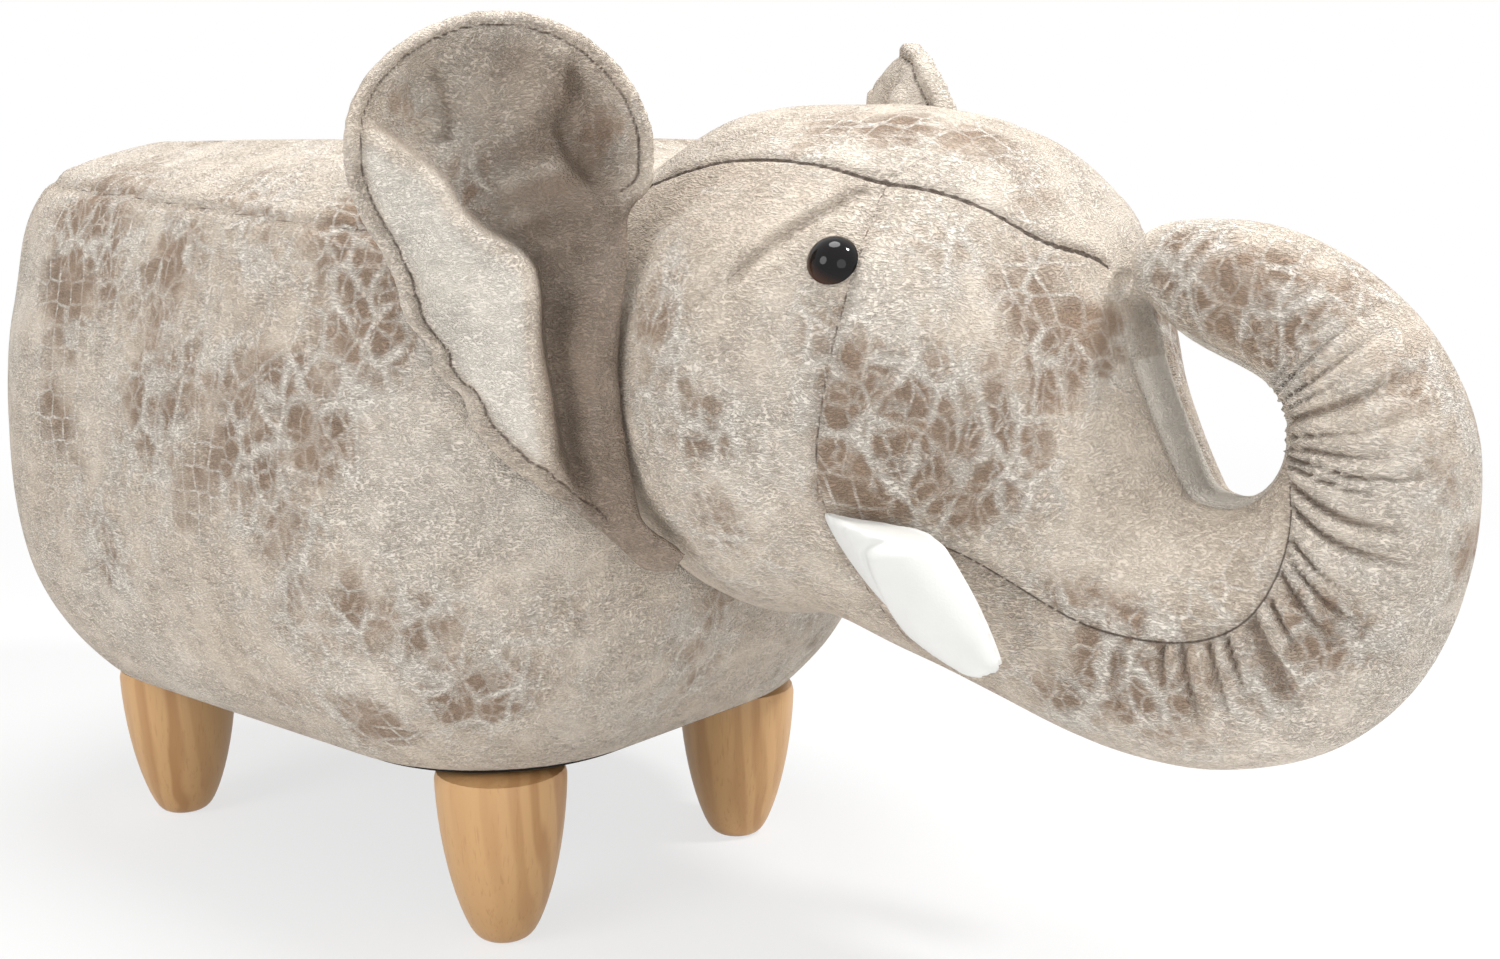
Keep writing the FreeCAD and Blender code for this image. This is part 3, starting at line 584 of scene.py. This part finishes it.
HEAD_SPOTS = [
    (0.086, -0.098, 0.258, 0.012, 0.50), (0.104, -0.102, 0.229, 0.013, 0.35),
    (0.107, -0.090, 0.194, 0.012, 0.40), (0.167, -0.088, 0.240, 0.016, 0.80),
    (0.183, -0.078, 0.247, 0.014, 0.60), (0.198, -0.061, 0.253, 0.013, 0.50),
    (0.169, -0.085, 0.217, 0.014, 0.90), (0.188, -0.073, 0.218, 0.014, 0.80),
    (0.202, -0.060, 0.227, 0.014, 0.60), (0.210, -0.044, 0.249, 0.011, 0.80),
    (0.214, -0.029, 0.257, 0.010, 0.80), (0.199, -0.052, 0.271, 0.013, 0.40),
    (0.183, -0.061, 0.286, 0.013, 0.35), (0.204, -0.036, 0.278, 0.010, 0.30),
    (0.237, -0.019, 0.286, 0.011, 0.50), (0.263, -0.024, 0.272, 0.014, 0.60),
    (0.280, -0.025, 0.264, 0.012, 0.60), (0.304, -0.023, 0.251, 0.012, 0.50),
    (0.322, -0.018, 0.226, 0.010, 0.50), (0.328, -0.003, 0.197, 0.009, 0.50),
    (0.287, -0.020, 0.273, 0.010, 0.50), (0.232, -0.052, 0.166, 0.013, 0.60),
    (0.217, -0.050, 0.146, 0.013, 0.40), (0.248, -0.048, 0.151, 0.013, 0.60),
    (0.278, -0.042, 0.153, 0.014, 0.40), (0.255, -0.040, 0.134, 0.011, 0.50),
    (0.299, -0.036, 0.174, 0.010, 0.35), (0.142, -0.037, 0.326, 0.013, 0.50),
    (0.163, -0.033, 0.321, 0.012, 0.50), (0.122, -0.050, 0.323, 0.012, 0.30),
    (0.186, -0.038, 0.303, 0.011, 0.30),
]


def soft_line(corners, rounds=3):
    """A smooth open line that keeps the first and last corner."""
    line = np.array(corners, float)
    for step in range(rounds):
        early = line[:-1] * 0.75 + line[1:] * 0.25
        late = line[:-1] * 0.25 + line[1:] * 0.75
        middle = np.stack((early, late), 1).reshape(-1, 2)
        line = np.concatenate((line[:1], middle[1:-1], line[-1:]))
    return line


def to_line(flat, line):
    """Distance of flat points from a line, the side they lie on, and the nearest place on it."""
    best = np.full(len(flat), 1e9)
    side = np.zeros(len(flat))
    near = flat.copy()
    for start, end in zip(line[:-1], line[1:]):
        step = end - start
        reach = np.clip(((flat - start) @ step) / float(np.linalg.norm(step)) ** 2, 0.0, 1.0)
        foot = start + reach[:, None] * step
        gap = flat - foot
        away = np.linalg.norm(gap, axis=1)
        nearer = away < best
        best = np.where(nearer, away, best)
        side = np.where(nearer, np.sign(step[0] * gap[:, 1] - step[1] * gap[:, 0]), side)
        near[nearer] = foot[nearer]
    return best, side, near


def trunk_place(points):
    """Turn round the curl, distance from its middle, and whether a point is on the curled trunk."""
    across = points[:, 0] - CURL_X
    up = points[:, 2] - CURL_Z
    ahead = points[:, 0] - BROW_X
    over = points[:, 2] - BROW_Z
    brow = np.arctan2(ahead, over)
    height = np.hypot(ahead, over) - BROW_R
    above_face = height > np.interp(brow, BROW_TURNS, BROW_HEIGHTS) + 1.2 * MM
    curled = (brow > FACE_SLOPE) | ((brow > math.radians(20.0)) & above_face)
    return np.arctan2(up, across), np.hypot(across, up), curled


head = outer_skin("head_and_trunk", ("head_stuffing", "trunk_stuffing"), 2.8 * MM, 4)
crown_line, cheek_line = soft_line(CROWN_LINE), soft_line(CHEEK_LINE)
dart_line, gather_line = soft_line(DART_LINE), soft_line(GATHER_LINE)


def head_seams(points, outward):
    """Each head point's place on the trunk and its distance from every seam, far where none runs."""
    turn, reach, curled = trunk_place(points)
    aside = np.abs(points[:, 1])
    flank = points[:, [0, 2]]
    crown, crown_side = to_line(np.stack((points[:, 0], aside), 1), crown_line)[:2]
    crown /= np.clip(outward[:, 2], 0.35, 1.0)
    on_top = (outward[:, 2] > 0.1) & ~curled & (points[:, 2] > 0.26)
    on_flank = np.abs(outward[:, 1]) > 0.25
    slant = np.clip(np.abs(outward[:, 1]), 0.4, 1.0)
    cheek = to_line(flank, cheek_line)[0] / slant
    dart, dart_side = to_line(flank, dart_line)[:2]
    gather, gather_side = to_line(flank, gather_line)[:2]
    in_curl = (reach < CURL_HOLE_R) & (curled | (points[:, 0] > 0.205))
    return SimpleNamespace(
        turn=turn, reach=reach, curled=curled, on_top=on_top, crown_side=crown_side, dart_side=dart_side,
        gather_side=gather_side, banded=in_curl & (aside < BAND_HALF),
        crown=np.where(on_top, crown, NO_SEAM),
        cheek=np.where(on_flank & ~curled, cheek, NO_SEAM),
        dart=np.where(on_flank & ~curled & (points[:, 2] > 0.262), dart, NO_SEAM),
        gather=np.where(aside > BAND_HALF, gather / slant, NO_SEAM),
        band=np.where(in_curl, np.abs(aside - BAND_HALF), NO_SEAM),
    )


points = points_of(head)
outward = normals_of(head)
at = head_seams(points, outward)
sewn = np.minimum.reduce((at.crown, at.cheek, at.gather, at.band)) < 2.2 * MM
sewn |= points[:, 0] < INSIDE_BODY_X
sewn |= at.curled & (at.turn > TIP_TURN) & (np.abs(points[:, 1]) < 16.0 * MM)
plump(head, sewn, 3.0 * MM)
apply_modifier(head, "SUBSURF", levels=1, render_levels=1)


def draw_to_seam(points, line, axis, distance, reach):
    """Slides the points beside a sewn line on to it, so the line reads as one clean edge."""
    close = distance < reach
    flat = np.stack((points[:, 0], np.abs(points[:, axis])), 1)
    near = to_line(flat[close], line)[2]
    points[close, 0] = near[:, 0]
    points[close, axis] = near[:, 1] * np.sign(points[close, axis])


def rise(value, low, high):
    """Goes smoothly from 0 to 1 as a length goes from low to high, in millimetres."""
    return ease(value, low * MM, high * MM)


points = points_of(head)
outward = normals_of(head)
draw_to_seam(points, crown_line, 1, head_seams(points, outward).crown, 0.85 * MM)
draw_to_seam(points, gather_line, 2, head_seams(points, outward).gather, 0.8 * MM)
at = head_seams(points, outward)
ahead, aside, height = points[:, 0], np.abs(points[:, 1]), points[:, 2]
eye_low, eye_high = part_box("right_eye")
eye_middle = np.array((eye_low + eye_high) / 2)
from_eye = np.linalg.norm(np.stack((ahead, -aside, height), 1) - eye_middle, axis=1)

lift = np.full(len(points), 0.0)
lift += 0.9 * MM * uneven(points, 14.0, 3) + 0.35 * MM * uneven(points, 45.0, 4)
lift -= np.maximum(CROWN_DEPTH * bell(at.crown, SEAM_WIDTH), CHEEK_DEPTH * bell(at.cheek, SEAM_WIDTH))
lift += 0.5 * MM * bell(np.where(at.crown_side < 0, at.crown - 4.0 * MM, NO_SEAM), 4.0 * MM)
dart_fold = np.where(at.dart_side > 0, -DART_STEP, DART_STEP) * bell(at.dart, 5.0 * MM)
dart_fold *= rise(at.dart, 0.0, 1.2)
dart_fold -= DART_DEPTH * bell(at.dart, 1.3 * MM)
lift += dart_fold * rise(ahead, 108.0, 122.0) * rise(at.crown, 1.0, 7.0)
lift += EYE_PAD * bell(from_eye, 10.5 * MM) - EYE_SOCKET * bell(from_eye - 18.0 * MM, 6.0 * MM)

# pleats start at the gathering seam and die away over the outside of the curl
in_hole = at.turn > HOLE_TURN
edge = np.where(at.turn < HOLE_TURN, at.gather, np.minimum(at.gather, np.abs(aside - BAND_HALF)))
edge = np.where(at.curled & in_hole, at.reach - 18.0 * MM, edge)
outer = (at.gather_side < 0) & (ahead > 0.17)
pleated = at.curled & (outer | (at.turn > math.radians(12.0))) & (aside > 9.0 * MM)
swing = at.turn + 0.055 * uneven(points * (1.0, 0.0, 1.0), 30.0, 5)
phase = swing * PLEATS_ROUND + 1.7 * np.sin(swing * 9.0) + 0.9 * np.sin(swing * 21.0 + 1.0)
valley = (0.5 + 0.5 * np.cos(phase)) ** 3.0
long_pleat = PLEAT_SHORT + PLEAT_LONGER * (0.5 + 0.5 * np.sin(phase * 0.37 + 1.3))
long_pleat += 8.0 * MM * ease(at.turn, math.radians(-50.0), math.radians(-15.0))
gathered = ease(at.turn, math.radians(-112.0), math.radians(-92.0))
gathered *= 1.0 - ease(at.turn, math.radians(42.0), math.radians(64.0))
depth = np.where(pleated, valley * bell(np.maximum(edge, 0.0), long_pleat) * gathered, 0.0)
puff = np.where(pleated, bell(edge - 9.0 * MM, 9.0 * MM) * gathered, 0.0)
lift += PLEAT_PUFF * puff - PLEAT_DEPTH * depth * rise(edge, -1.0, 3.0)
lift -= GATHER_DEPTH * bell(at.gather, SEAM_WIDTH) * rise(ahead, 160.0, 180.0)
lift -= BAND_DEPTH * bell(at.band, 1.6 * MM)
lift *= rise(ahead, 45.0, 65.0)
move_points(head, points + outward * lift[:, None])

gather_thread = np.where(ahead > 0.16, at.gather + 0.25 * MM, NO_SEAM)
dart_thread = np.where(ahead > 0.112, at.dart + 0.5 * MM, NO_SEAM)
threads = (at.crown, at.cheek + 0.25 * MM, gather_thread, at.band + 0.35 * MM, dart_thread)
# painted shadow: a dark band on the cheek beside the ear's root, where the gap between ear and cheek is in
# shade; the pleat valleys get painted shade and the band in the curl gets painted highlight
ear_shade = bell(np.hypot(ahead - EAR_SHADE_X, aside - EAR_SHADE_Y), 8.0 * MM)
ear_shade *= rise(height, 176.0, 200.0) * (1.0 - rise(height, 284.0, 302.0))
note(head, "seam", np.minimum(np.minimum.reduce(threads), SEAM_REACH))
note(head, "worn", worn_spots(points, HEAD_SPOTS) - 0.4 * at.banded)
note(head, "painted_shading", np.clip(1.4 * depth * valley + 0.9 * ear_shade, 0.0, 1.0) - at.banded)

# which sewn panel each face is on: 3 and 4 cheeks, 5 and 6 faces, 7 trunk, 8 crown, 9 band in the curl
centres = face_centres(head)
on = head_seams(centres, rows_of(head.data.polygons, "normal"))
past_cheek = centres[:, 0] > np.interp(centres[:, 2], cheek_line[::-1, 1], cheek_line[::-1, 0])
below_gather = on.gather_side < 0
panel = np.where(past_cheek, 5.0, 3.0) + (centres[:, 1] > 0.0)
panel = np.where(on.curled & (below_gather | (on.turn > HOLE_TURN)), 7.0, panel)
panel = np.where(past_cheek & below_gather & (centres[:, 2] < 0.2), 7.0, panel)
panel = np.where(on.on_top & (on.crown_side < 0), 8.0, panel)
panel = np.where(on.banded, 9.0, panel)
note(head, "panel", panel, "FACE")
head.data.materials.append(body_cover_finish)
head.data.shade_smooth()
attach(head, "stool")
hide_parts("head_stuffing", "trunk_stuffing", "crown_panel", "right_cheek_panel", "left_cheek_panel",
            "right_face_panel", "left_face_panel", "trunk_panel")


# The eyes: domed safety eyes of clear polished plastic, black behind with a brown edge.
# A shank goes through the cheek, and a plastic lock washer holds it from inside.

PUPIL_SHIFT = np.array((1.5, 1.0, 1.5)) * MM
eye_finish, tree, shader = blank_finish("polished_eye", 0.06, 0.22)
either_eye = add(tree, "VectorMath", {"operation": "ABSOLUTE"})
tree.links.new(own_place(tree), either_eye.inputs[0])
away = add(tree, "VectorMath", {"operation": "DISTANCE"})
tree.links.new(either_eye.outputs[0], away.inputs[0])
away.inputs[1].default_value = tuple(np.abs(eye_middle) + PUPIL_SHIFT)
rim = fade(tree, away.outputs["Value"], 0.0085, 0.0108)
dark = tint(tree, rim, (0.006, 0.005, 0.005, 1.0), (0.040, 0.016, 0.008, 1.0))
tree.links.new(dark, shader.inputs["Base Color"])
for eye in ("right_eye", "left_eye"):
    dress(eye, eye_finish)
washer_finish, tree, shader = blank_finish("natural_washer", 0.5, 0.4)
cloud = clouds(tree, own_place(tree), scale=300.0)
natural = tint(tree, cloud, (0.66, 0.66, 0.63, 1.0), (0.74, 0.74, 0.72, 1.0))
tree.links.new(natural, shader.inputs["Base Color"])
dress("eye_lock_washers", washer_finish)


# The tusks: smooth white cloth, sewn face to face, turned and stuffed into flat claws.
# Each root is stitched to the side of the face, just behind the gathering seam.

tusk_cloth, tree, shader = blank_finish("white_tusk_cloth", 0.55, 0.4)
shader.inputs["Sheen Weight"].default_value = 0.15
place = own_place(tree)
weave = clouds(tree, place, scale=1300.0)
soft = clouds(tree, place, scale=60.0)
seam = add(tree, "Attribute", {"attribute_name": "seam"}).outputs["Fac"]
colour = tint(tree, soft, (0.63, 0.63, 0.61, 1.0), (0.70, 0.70, 0.68, 1.0))
colour = tint(tree, fade(tree, seam, 0.0003, 0.0014, 0.55, 0.0), colour, (0.55, 0.54, 0.51, 1.0))
tree.links.new(colour, shader.inputs["Base Color"])
emboss(tree, shader, weave, strength=0.25, depth=0.0003)

# the edge of the padded blade, which rises from the flat root, as x and height
PAD_LINE = soft_line([
    (0.2035, 0.1985), (0.2008, 0.1978), (0.1870, 0.1988), (0.1757, 0.1965),
    (0.1708, 0.1935), (0.1724, 0.1873), (0.1788, 0.1731), (0.1840, 0.1640),
], 2)
PAD_RISE = 2.4 * MM
PAD_GROOVE = 0.8 * MM
RIM_GROOVE = 0.7 * MM
RIM_SPAN = 9.0 * MM

for hand, side in (("right", -1.0), ("left", 1.0)):
    tusk = outer_skin(hand + "_tusk", (hand + "_tusk_cover", hand + "_tusk_stuffing"), 2.0 * MM, 4)
    points = points_of(tusk)
    plump(tusk, points[:, 1] * side < 74.0 * MM, 1.5 * MM)
    apply_modifier(tusk, "SUBSURF", levels=1, render_levels=1)
    points = points_of(tusk)
    outward = normals_of(tusk)
    rim = np.abs(outward[:, 1]) * RIM_SPAN
    pad, pad_side = to_line(points[:, [0, 2]], PAD_LINE)[:2]
    pad *= np.where(pad_side > 0, 1.0, -1.0)
    padding = PAD_RISE * rise(pad, 0.0, 5.0) - PAD_GROOVE * bell(pad, 1.2 * MM)
    lift = ease(outward[:, 1] * side, 0.1, 0.6) * padding - RIM_GROOVE * bell(rim, 1.3 * MM)
    move_points(tusk, points + outward * lift[:, None])
    note(tusk, "seam", rim)
    tusk.data.materials.append(tusk_cloth)
    tusk.data.shade_smooth()
    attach(tusk, "stool")
    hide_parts(hand + "_tusk_cover", hand + "_tusk_stuffing")


# The ears: two layers of the cover material over a thin foam leaf, turned and topstitched at the edge.
# The root is sewn along the side of the head, and the leaf cups forward with a few soft folds.

EAR_ROOT = np.array((63.411, -99.42, 0.0)) * MM
EAR_TURN = math.radians(-123.5)
EAR_OUT = np.array((math.cos(EAR_TURN), math.sin(EAR_TURN), 0.0))
EAR_FRONT = np.array((-math.sin(EAR_TURN), math.cos(EAR_TURN), 0.0))
ROOT_LINE = np.array([
    (168.0, -9.0), (178.0, -8.0), (192.6, -5.0), (207.3, -2.0), (225.1, 0.6), (242.7, 2.1), (259.9, 0.8),
    (280.4, -2.0), (295.7, -2.0), (305.0, 2.0), (312.0, 3.0), (380.0, 3.0),
]) * MM
FLARE_LINE = np.array([
    (84.0, 322.0), (77.0, 324.2), (66.4, 316.2), (54.4, 308.0), (46.6, 291.5), (25.7, 281.5), (23.1, 270.2),
    (23.5, 248.9), (19.6, 227.1), (14.3, 199.0), (-4.8, 179.9),
]) * MM
TUCK_LINE = np.array([
    (11.6, 356.0), (11.9, 335.4), (17.0, 330.0), (15.7, 317.6), (1.0, 298.0), (-6.0, 288.0),
]) * MM
NIP_LINE = np.array([(58.0, 356.0), (55.8, 352.3), (50.7, 340.4), (46.9, 328.4), (48.0, 322.0)]) * MM
LOWER_FULLNESS = 12.0 * MM
UPPER_FULLNESS = 5.0 * MM
LOBE_Z = 322.0 * MM
FLARE_SINK = 12.0 * MM
FLARE_BACK = 9.0 * MM
TUCK_SINK = 5.0 * MM
NIP_SINK = 3.2 * MM
HEM_WAVE = 1.6 * MM
HEM_RIPPLE = 1.5 * MM
ROOT_WRINKLE = 1.1 * MM
STITCH_IN = 5.0 * MM
STITCH_DEPTH = 0.9 * MM

ear = outer_skin("right_ear", ("right_ear_front", "right_ear_back", "right_ear_core"), 2.2 * MM, 3)
plump(ear, (points_of(ear) - EAR_ROOT) @ EAR_OUT < 4.0 * MM, 1.8 * MM)
apply_modifier(ear, "SUBSURF", levels=1, render_levels=1)

points = points_of(ear)
turned = np.nonzero(np.abs(normals_of(ear) @ EAR_FRONT) < 0.45)[0]
rim_points = KDTree(len(turned))
for count, index in enumerate(turned):
    rim_points.insert(Vector(points[index]), count)
rim_points.balance()
from_edge = np.array([rim_points.find(Vector(point))[2] for point in points])

# the leaf's outline: drawn in along the root, fuller at the lobe and below, with a wavy hem
out = (points - EAR_ROOT) @ EAR_OUT
deep = (points - EAR_ROOT) @ EAR_FRONT
high = points[:, 2].copy()
root_out = np.interp(high, ROOT_LINE[:, 0], ROOT_LINE[:, 1])
out_now = out + (root_out - 3.0 * MM) * (1.0 - rise(out, 0.0, 34.0))
lower = rise(high, 174.0, 212.0) * (1.0 - rise(high, 250.0, 306.0))
out_now += LOWER_FULLNESS * lower * rise(out, 0.0, 26.0)
out_now += UPPER_FULLNESS * rise(out, 30.0, 76.0) * bell(high - LOBE_Z, 42.0 * MM)
wavy = np.sin(high * 215.0 + 1.9 * np.sin(high * 75.0 + 0.6)) * bell(from_edge, 9.0 * MM)
out_now += HEM_WAVE * wavy * lower * rise(out, 8.0, 22.0)
flat = np.stack((out_now, high), 1)


def past_fold(line, rounds):
    """Distance from a fold's line, above 0 on its outer side."""
    distance, side = to_line(flat, soft_line(line, rounds))[:2]
    return np.where(side < 0, distance, -distance)


# the folds: one long flare down the leaf, a tuck by the root and a nip at the top
flare = past_fold(FLARE_LINE, 3)
tuck = past_fold(TUCK_LINE, 2)
nip = np.where(high < 320.0 * MM, NO_SEAM, 0.0) - past_fold(NIP_LINE, 2)
free = rise(from_edge, 2.0, 14.0)
from_root = out_now - root_out
rooted = np.maximum(rise(from_root, 0.0, 15.0), rise(high, 298.0, 312.0))
sink = FLARE_SINK * rise(flare, 0.0, 5.0) * (1.0 - 0.6 * rise(flare, 22.0, 70.0))
sink += TUCK_SINK * rise(tuck, 0.0, 6.0) * (1.0 - rise(tuck, 14.0, 34.0))
sink += NIP_SINK * rise(nip, 0.0, 4.0) * (1.0 - rise(nip, 9.0, 24.0))
swell = 2.2 * MM * bell(flare + 6.0 * MM, 6.0 * MM) + 1.6 * MM * bell(tuck + 5.0 * MM, 5.0 * MM)
turned_back = FLARE_BACK * rise(-flare, 1.0, 26.0) * (1.0 - 0.8 * rise(high, 318.0, 336.0))
deep_now = deep + ((swell - sink) * free - turned_back) * rooted
leaf = np.stack((out_now, high, high * 0.0), 1)
deep_now += rooted * (2.0 * MM * uneven(leaf, 42.0, 6) + 0.9 * MM * uneven(leaf, 110.0, 7))
drawn_in = np.sin(high * 310.0 + out_now * 130.0 + 3.5 * np.sin(high * 62.0 + 0.8))
drawn_in *= rise(from_root, 2.0, 9.0) * (1.0 - rise(from_root, 16.0, 40.0)) * rise(flare, 0.0, 8.0)
deep_now += ROOT_WRINKLE * drawn_in * free
ripple = np.sin(high * 520.0 + out_now * 300.0 + 3.0 * np.sin(high * 90.0)) * bell(from_edge, 6.0 * MM)
deep_now += HEM_RIPPLE * ripple * (1.0 - rise(high, 230.0, 300.0)) * rooted
shaped = EAR_ROOT + out_now[:, None] * EAR_OUT + deep_now[:, None] * EAR_FRONT
shaped[:, 2] = high
move_points(ear, shaped)

# the turned hem with its row of topstitching
outward = normals_of(ear)
stitched = from_edge - STITCH_IN
crimp = np.sin((high + out_now * 0.8) * 1500.0) * bell(from_edge - 2.5 * MM, 3.0 * MM)
lift = 0.45 * MM * bell(from_edge - 2.2 * MM, 1.8 * MM) + 0.22 * MM * crimp
lift -= STITCH_DEPTH * bell(stitched, 1.1 * MM)
move_points(ear, shaped + outward * (lift * rooted)[:, None])

# painted shade: darker in the dish, along the creases and wrinkles and towards the root; painted highlight
# on the flared strip
front_side = outward @ EAR_FRONT > 0.0
crease = bell(flare - 3.0 * MM, 3.5 * MM) + 0.7 * bell(tuck - 3.0 * MM, 3.0 * MM)
crease += 0.6 * bell(nip - 2.0 * MM, 2.5 * MM)
root_shade = (1.0 - rise(from_root, 9.0, 32.0)) * (1.0 - rise(high, 296.0, 312.0))
dished = rise(flare, 0.0, 9.0) * free
shade = 0.85 * dished * (1.0 - 0.75 * rise(out_now, 10.0, 62.0))
shade += 0.45 * crease * free + 0.85 * root_shade - 0.22 * drawn_in
flared_strip_highlight = rise(-flare, 1.0, 8.0) * rise(from_edge, 4.0, 8.0) * front_side * rooted
# the dish's share browns it a little more as painted shade; the two round spots are worn print
worn = 0.10 * dished + 0.55 * bell(np.hypot(out_now - 66.0 * MM, high - 333.0 * MM), 11.0 * MM)
worn += 0.5 * bell(np.hypot(out_now - 2.0 * MM, high - 326.0 * MM), 12.0 * MM)
thread = np.minimum(np.abs(stitched) + 0.2 * MM, SEAM_REACH)
note(ear, "seam", thread + np.where(rooted < 0.3, SEAM_REACH, 0.0))
note(ear, "worn", np.where(front_side, worn, 0.12))
note(ear, "painted_shading", np.where(front_side, np.clip(shade, 0.0, 1.0), 0.0) - 0.9 * flared_strip_highlight)
note(ear, "panel", np.full(len(ear.data.polygons), 11.0), "FACE")
ear.data.materials.append(body_cover_finish)
ear.data.shade_smooth()

select_only(ear)
bpy.ops.object.duplicate()
left_ear = bpy.context.view_layer.objects.active
left_ear.name = "left_ear"
move_points(left_ear, points_of(ear) * (1.0, -1.0, 1.0))
bpy.ops.object.mode_set(mode="EDIT")
bpy.ops.mesh.select_all(action="SELECT")
bpy.ops.mesh.flip_normals()
bpy.ops.object.mode_set(mode="OBJECT")

for piece, hand, side in ((ear, "right", 1.0), (left_ear, "left", -1.0)):
    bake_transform(piece)
    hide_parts(hand + "_ear_front", hand + "_ear_back", hand + "_ear_core")


# The plain studio: a pale floor that keeps a soft shadow, wide soft lamps and the camera.
# The camera stands where the photograph was taken from, low at the animal's right front.

FLOOR_SIZE = 12.0
ROOM_LIGHT = 0.41
CAMERA_DOWN = 10.34
CAMERA_TURN = 39.53


def seen_directly(tree):
    """1 for what the camera sees, straight or in a gloss or through glass, and 0 for light on the object."""
    path = add(tree, "LightPath")
    in_gloss = calc(tree, "MAXIMUM", path.outputs["Is Glossy Ray"], path.outputs["Is Transmission Ray"])
    return calc(tree, "MAXIMUM", path.outputs["Is Camera Ray"], in_gloss)


bpy.ops.object.select_all(action="DESELECT")
bpy.ops.mesh.primitive_plane_add(size=FLOOR_SIZE)
floor = bpy.context.view_layer.objects.active
floor.name = "studio_floor"
floor_paint, tree, shader = blank_finish("pale_floor", 0.9, 0.1)
shader.inputs["Base Color"].default_value = (0.86, 0.86, 0.86, 1.0)
glow = add(tree, "Emission", Color=(1.0, 1.0, 1.0, 1.0), Strength=1.0)
from_middle = add(tree, "VectorMath", {"operation": "LENGTH"})
tree.links.new(own_place(tree), from_middle.inputs[0])
to_white = fade(tree, from_middle.outputs["Value"], 0.45, 1.5, 0.7, 1.0)
mixed = add(tree, "MixShader", Fac=calc(tree, "MULTIPLY", seen_directly(tree), to_white))
tree.links.new(shader.outputs[0], mixed.inputs[1])
tree.links.new(glow.outputs[0], mixed.inputs[2])
tree.links.new(mixed.outputs[0], tree.nodes["Material Output"].inputs["Surface"])
floor.data.materials.append(floor_paint)
floor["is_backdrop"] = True

world = bpy.data.worlds.new("soft_room")
bpy.context.scene.world = world
world.use_nodes = True
tree = world.node_tree
backdrop = tree.nodes["Background"]
backdrop.inputs["Color"].default_value = (1.0, 1.0, 1.0, 1.0)
tree.links.new(fade(tree, seen_directly(tree), 0.0, 1.0, ROOM_LIGHT, 1.0), backdrop.inputs["Strength"])


def soft_lamp(name, place, aim, size, power):
    lamp = bpy.data.lights.new(name, "AREA")
    lamp.shape = "DISK"
    lamp.size = size
    lamp.energy = power
    holder = bpy.data.objects.new(name, lamp)
    bpy.context.scene.collection.objects.link(holder)
    holder.location = place
    holder.rotation_euler = (Vector(aim) - Vector(place)).to_track_quat("-Z", "Y").to_euler()


soft_lamp("top_lamp", (0.05, -0.05, 1.70), (0.05, 0.0, 0.2), 0.8, 17.5)
soft_lamp("rim_lamp", (0.85, 0.38, 1.35), (0.1, 0.0, 0.2), 0.22, 14.5)
soft_lamp("front_lamp", (-0.30, -1.70, 0.85), (0.0, 0.0, 0.15), 0.9, 12.3)
soft_lamp("right_lamp", (1.75, -0.95, 0.50), (0.1, 0.0, 0.15), 1.2, 8.0)

lens = bpy.data.cameras.new("photo_camera")
lens.lens = 42.82
lens.sensor_width = 36.0
lens.shift_x = 0.0045
lens.shift_y = -0.0015
camera = bpy.data.objects.new("photo_camera", lens)
bpy.context.scene.collection.objects.link(camera)
camera.location = (0.4914, -0.5433, 0.3170)
camera.rotation_euler = (math.radians(90.0 - CAMERA_DOWN), 0.0, math.radians(CAMERA_TURN))
bpy.context.scene.camera = camera
bpy.context.scene.view_settings.view_transform = "Standard"

low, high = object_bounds()
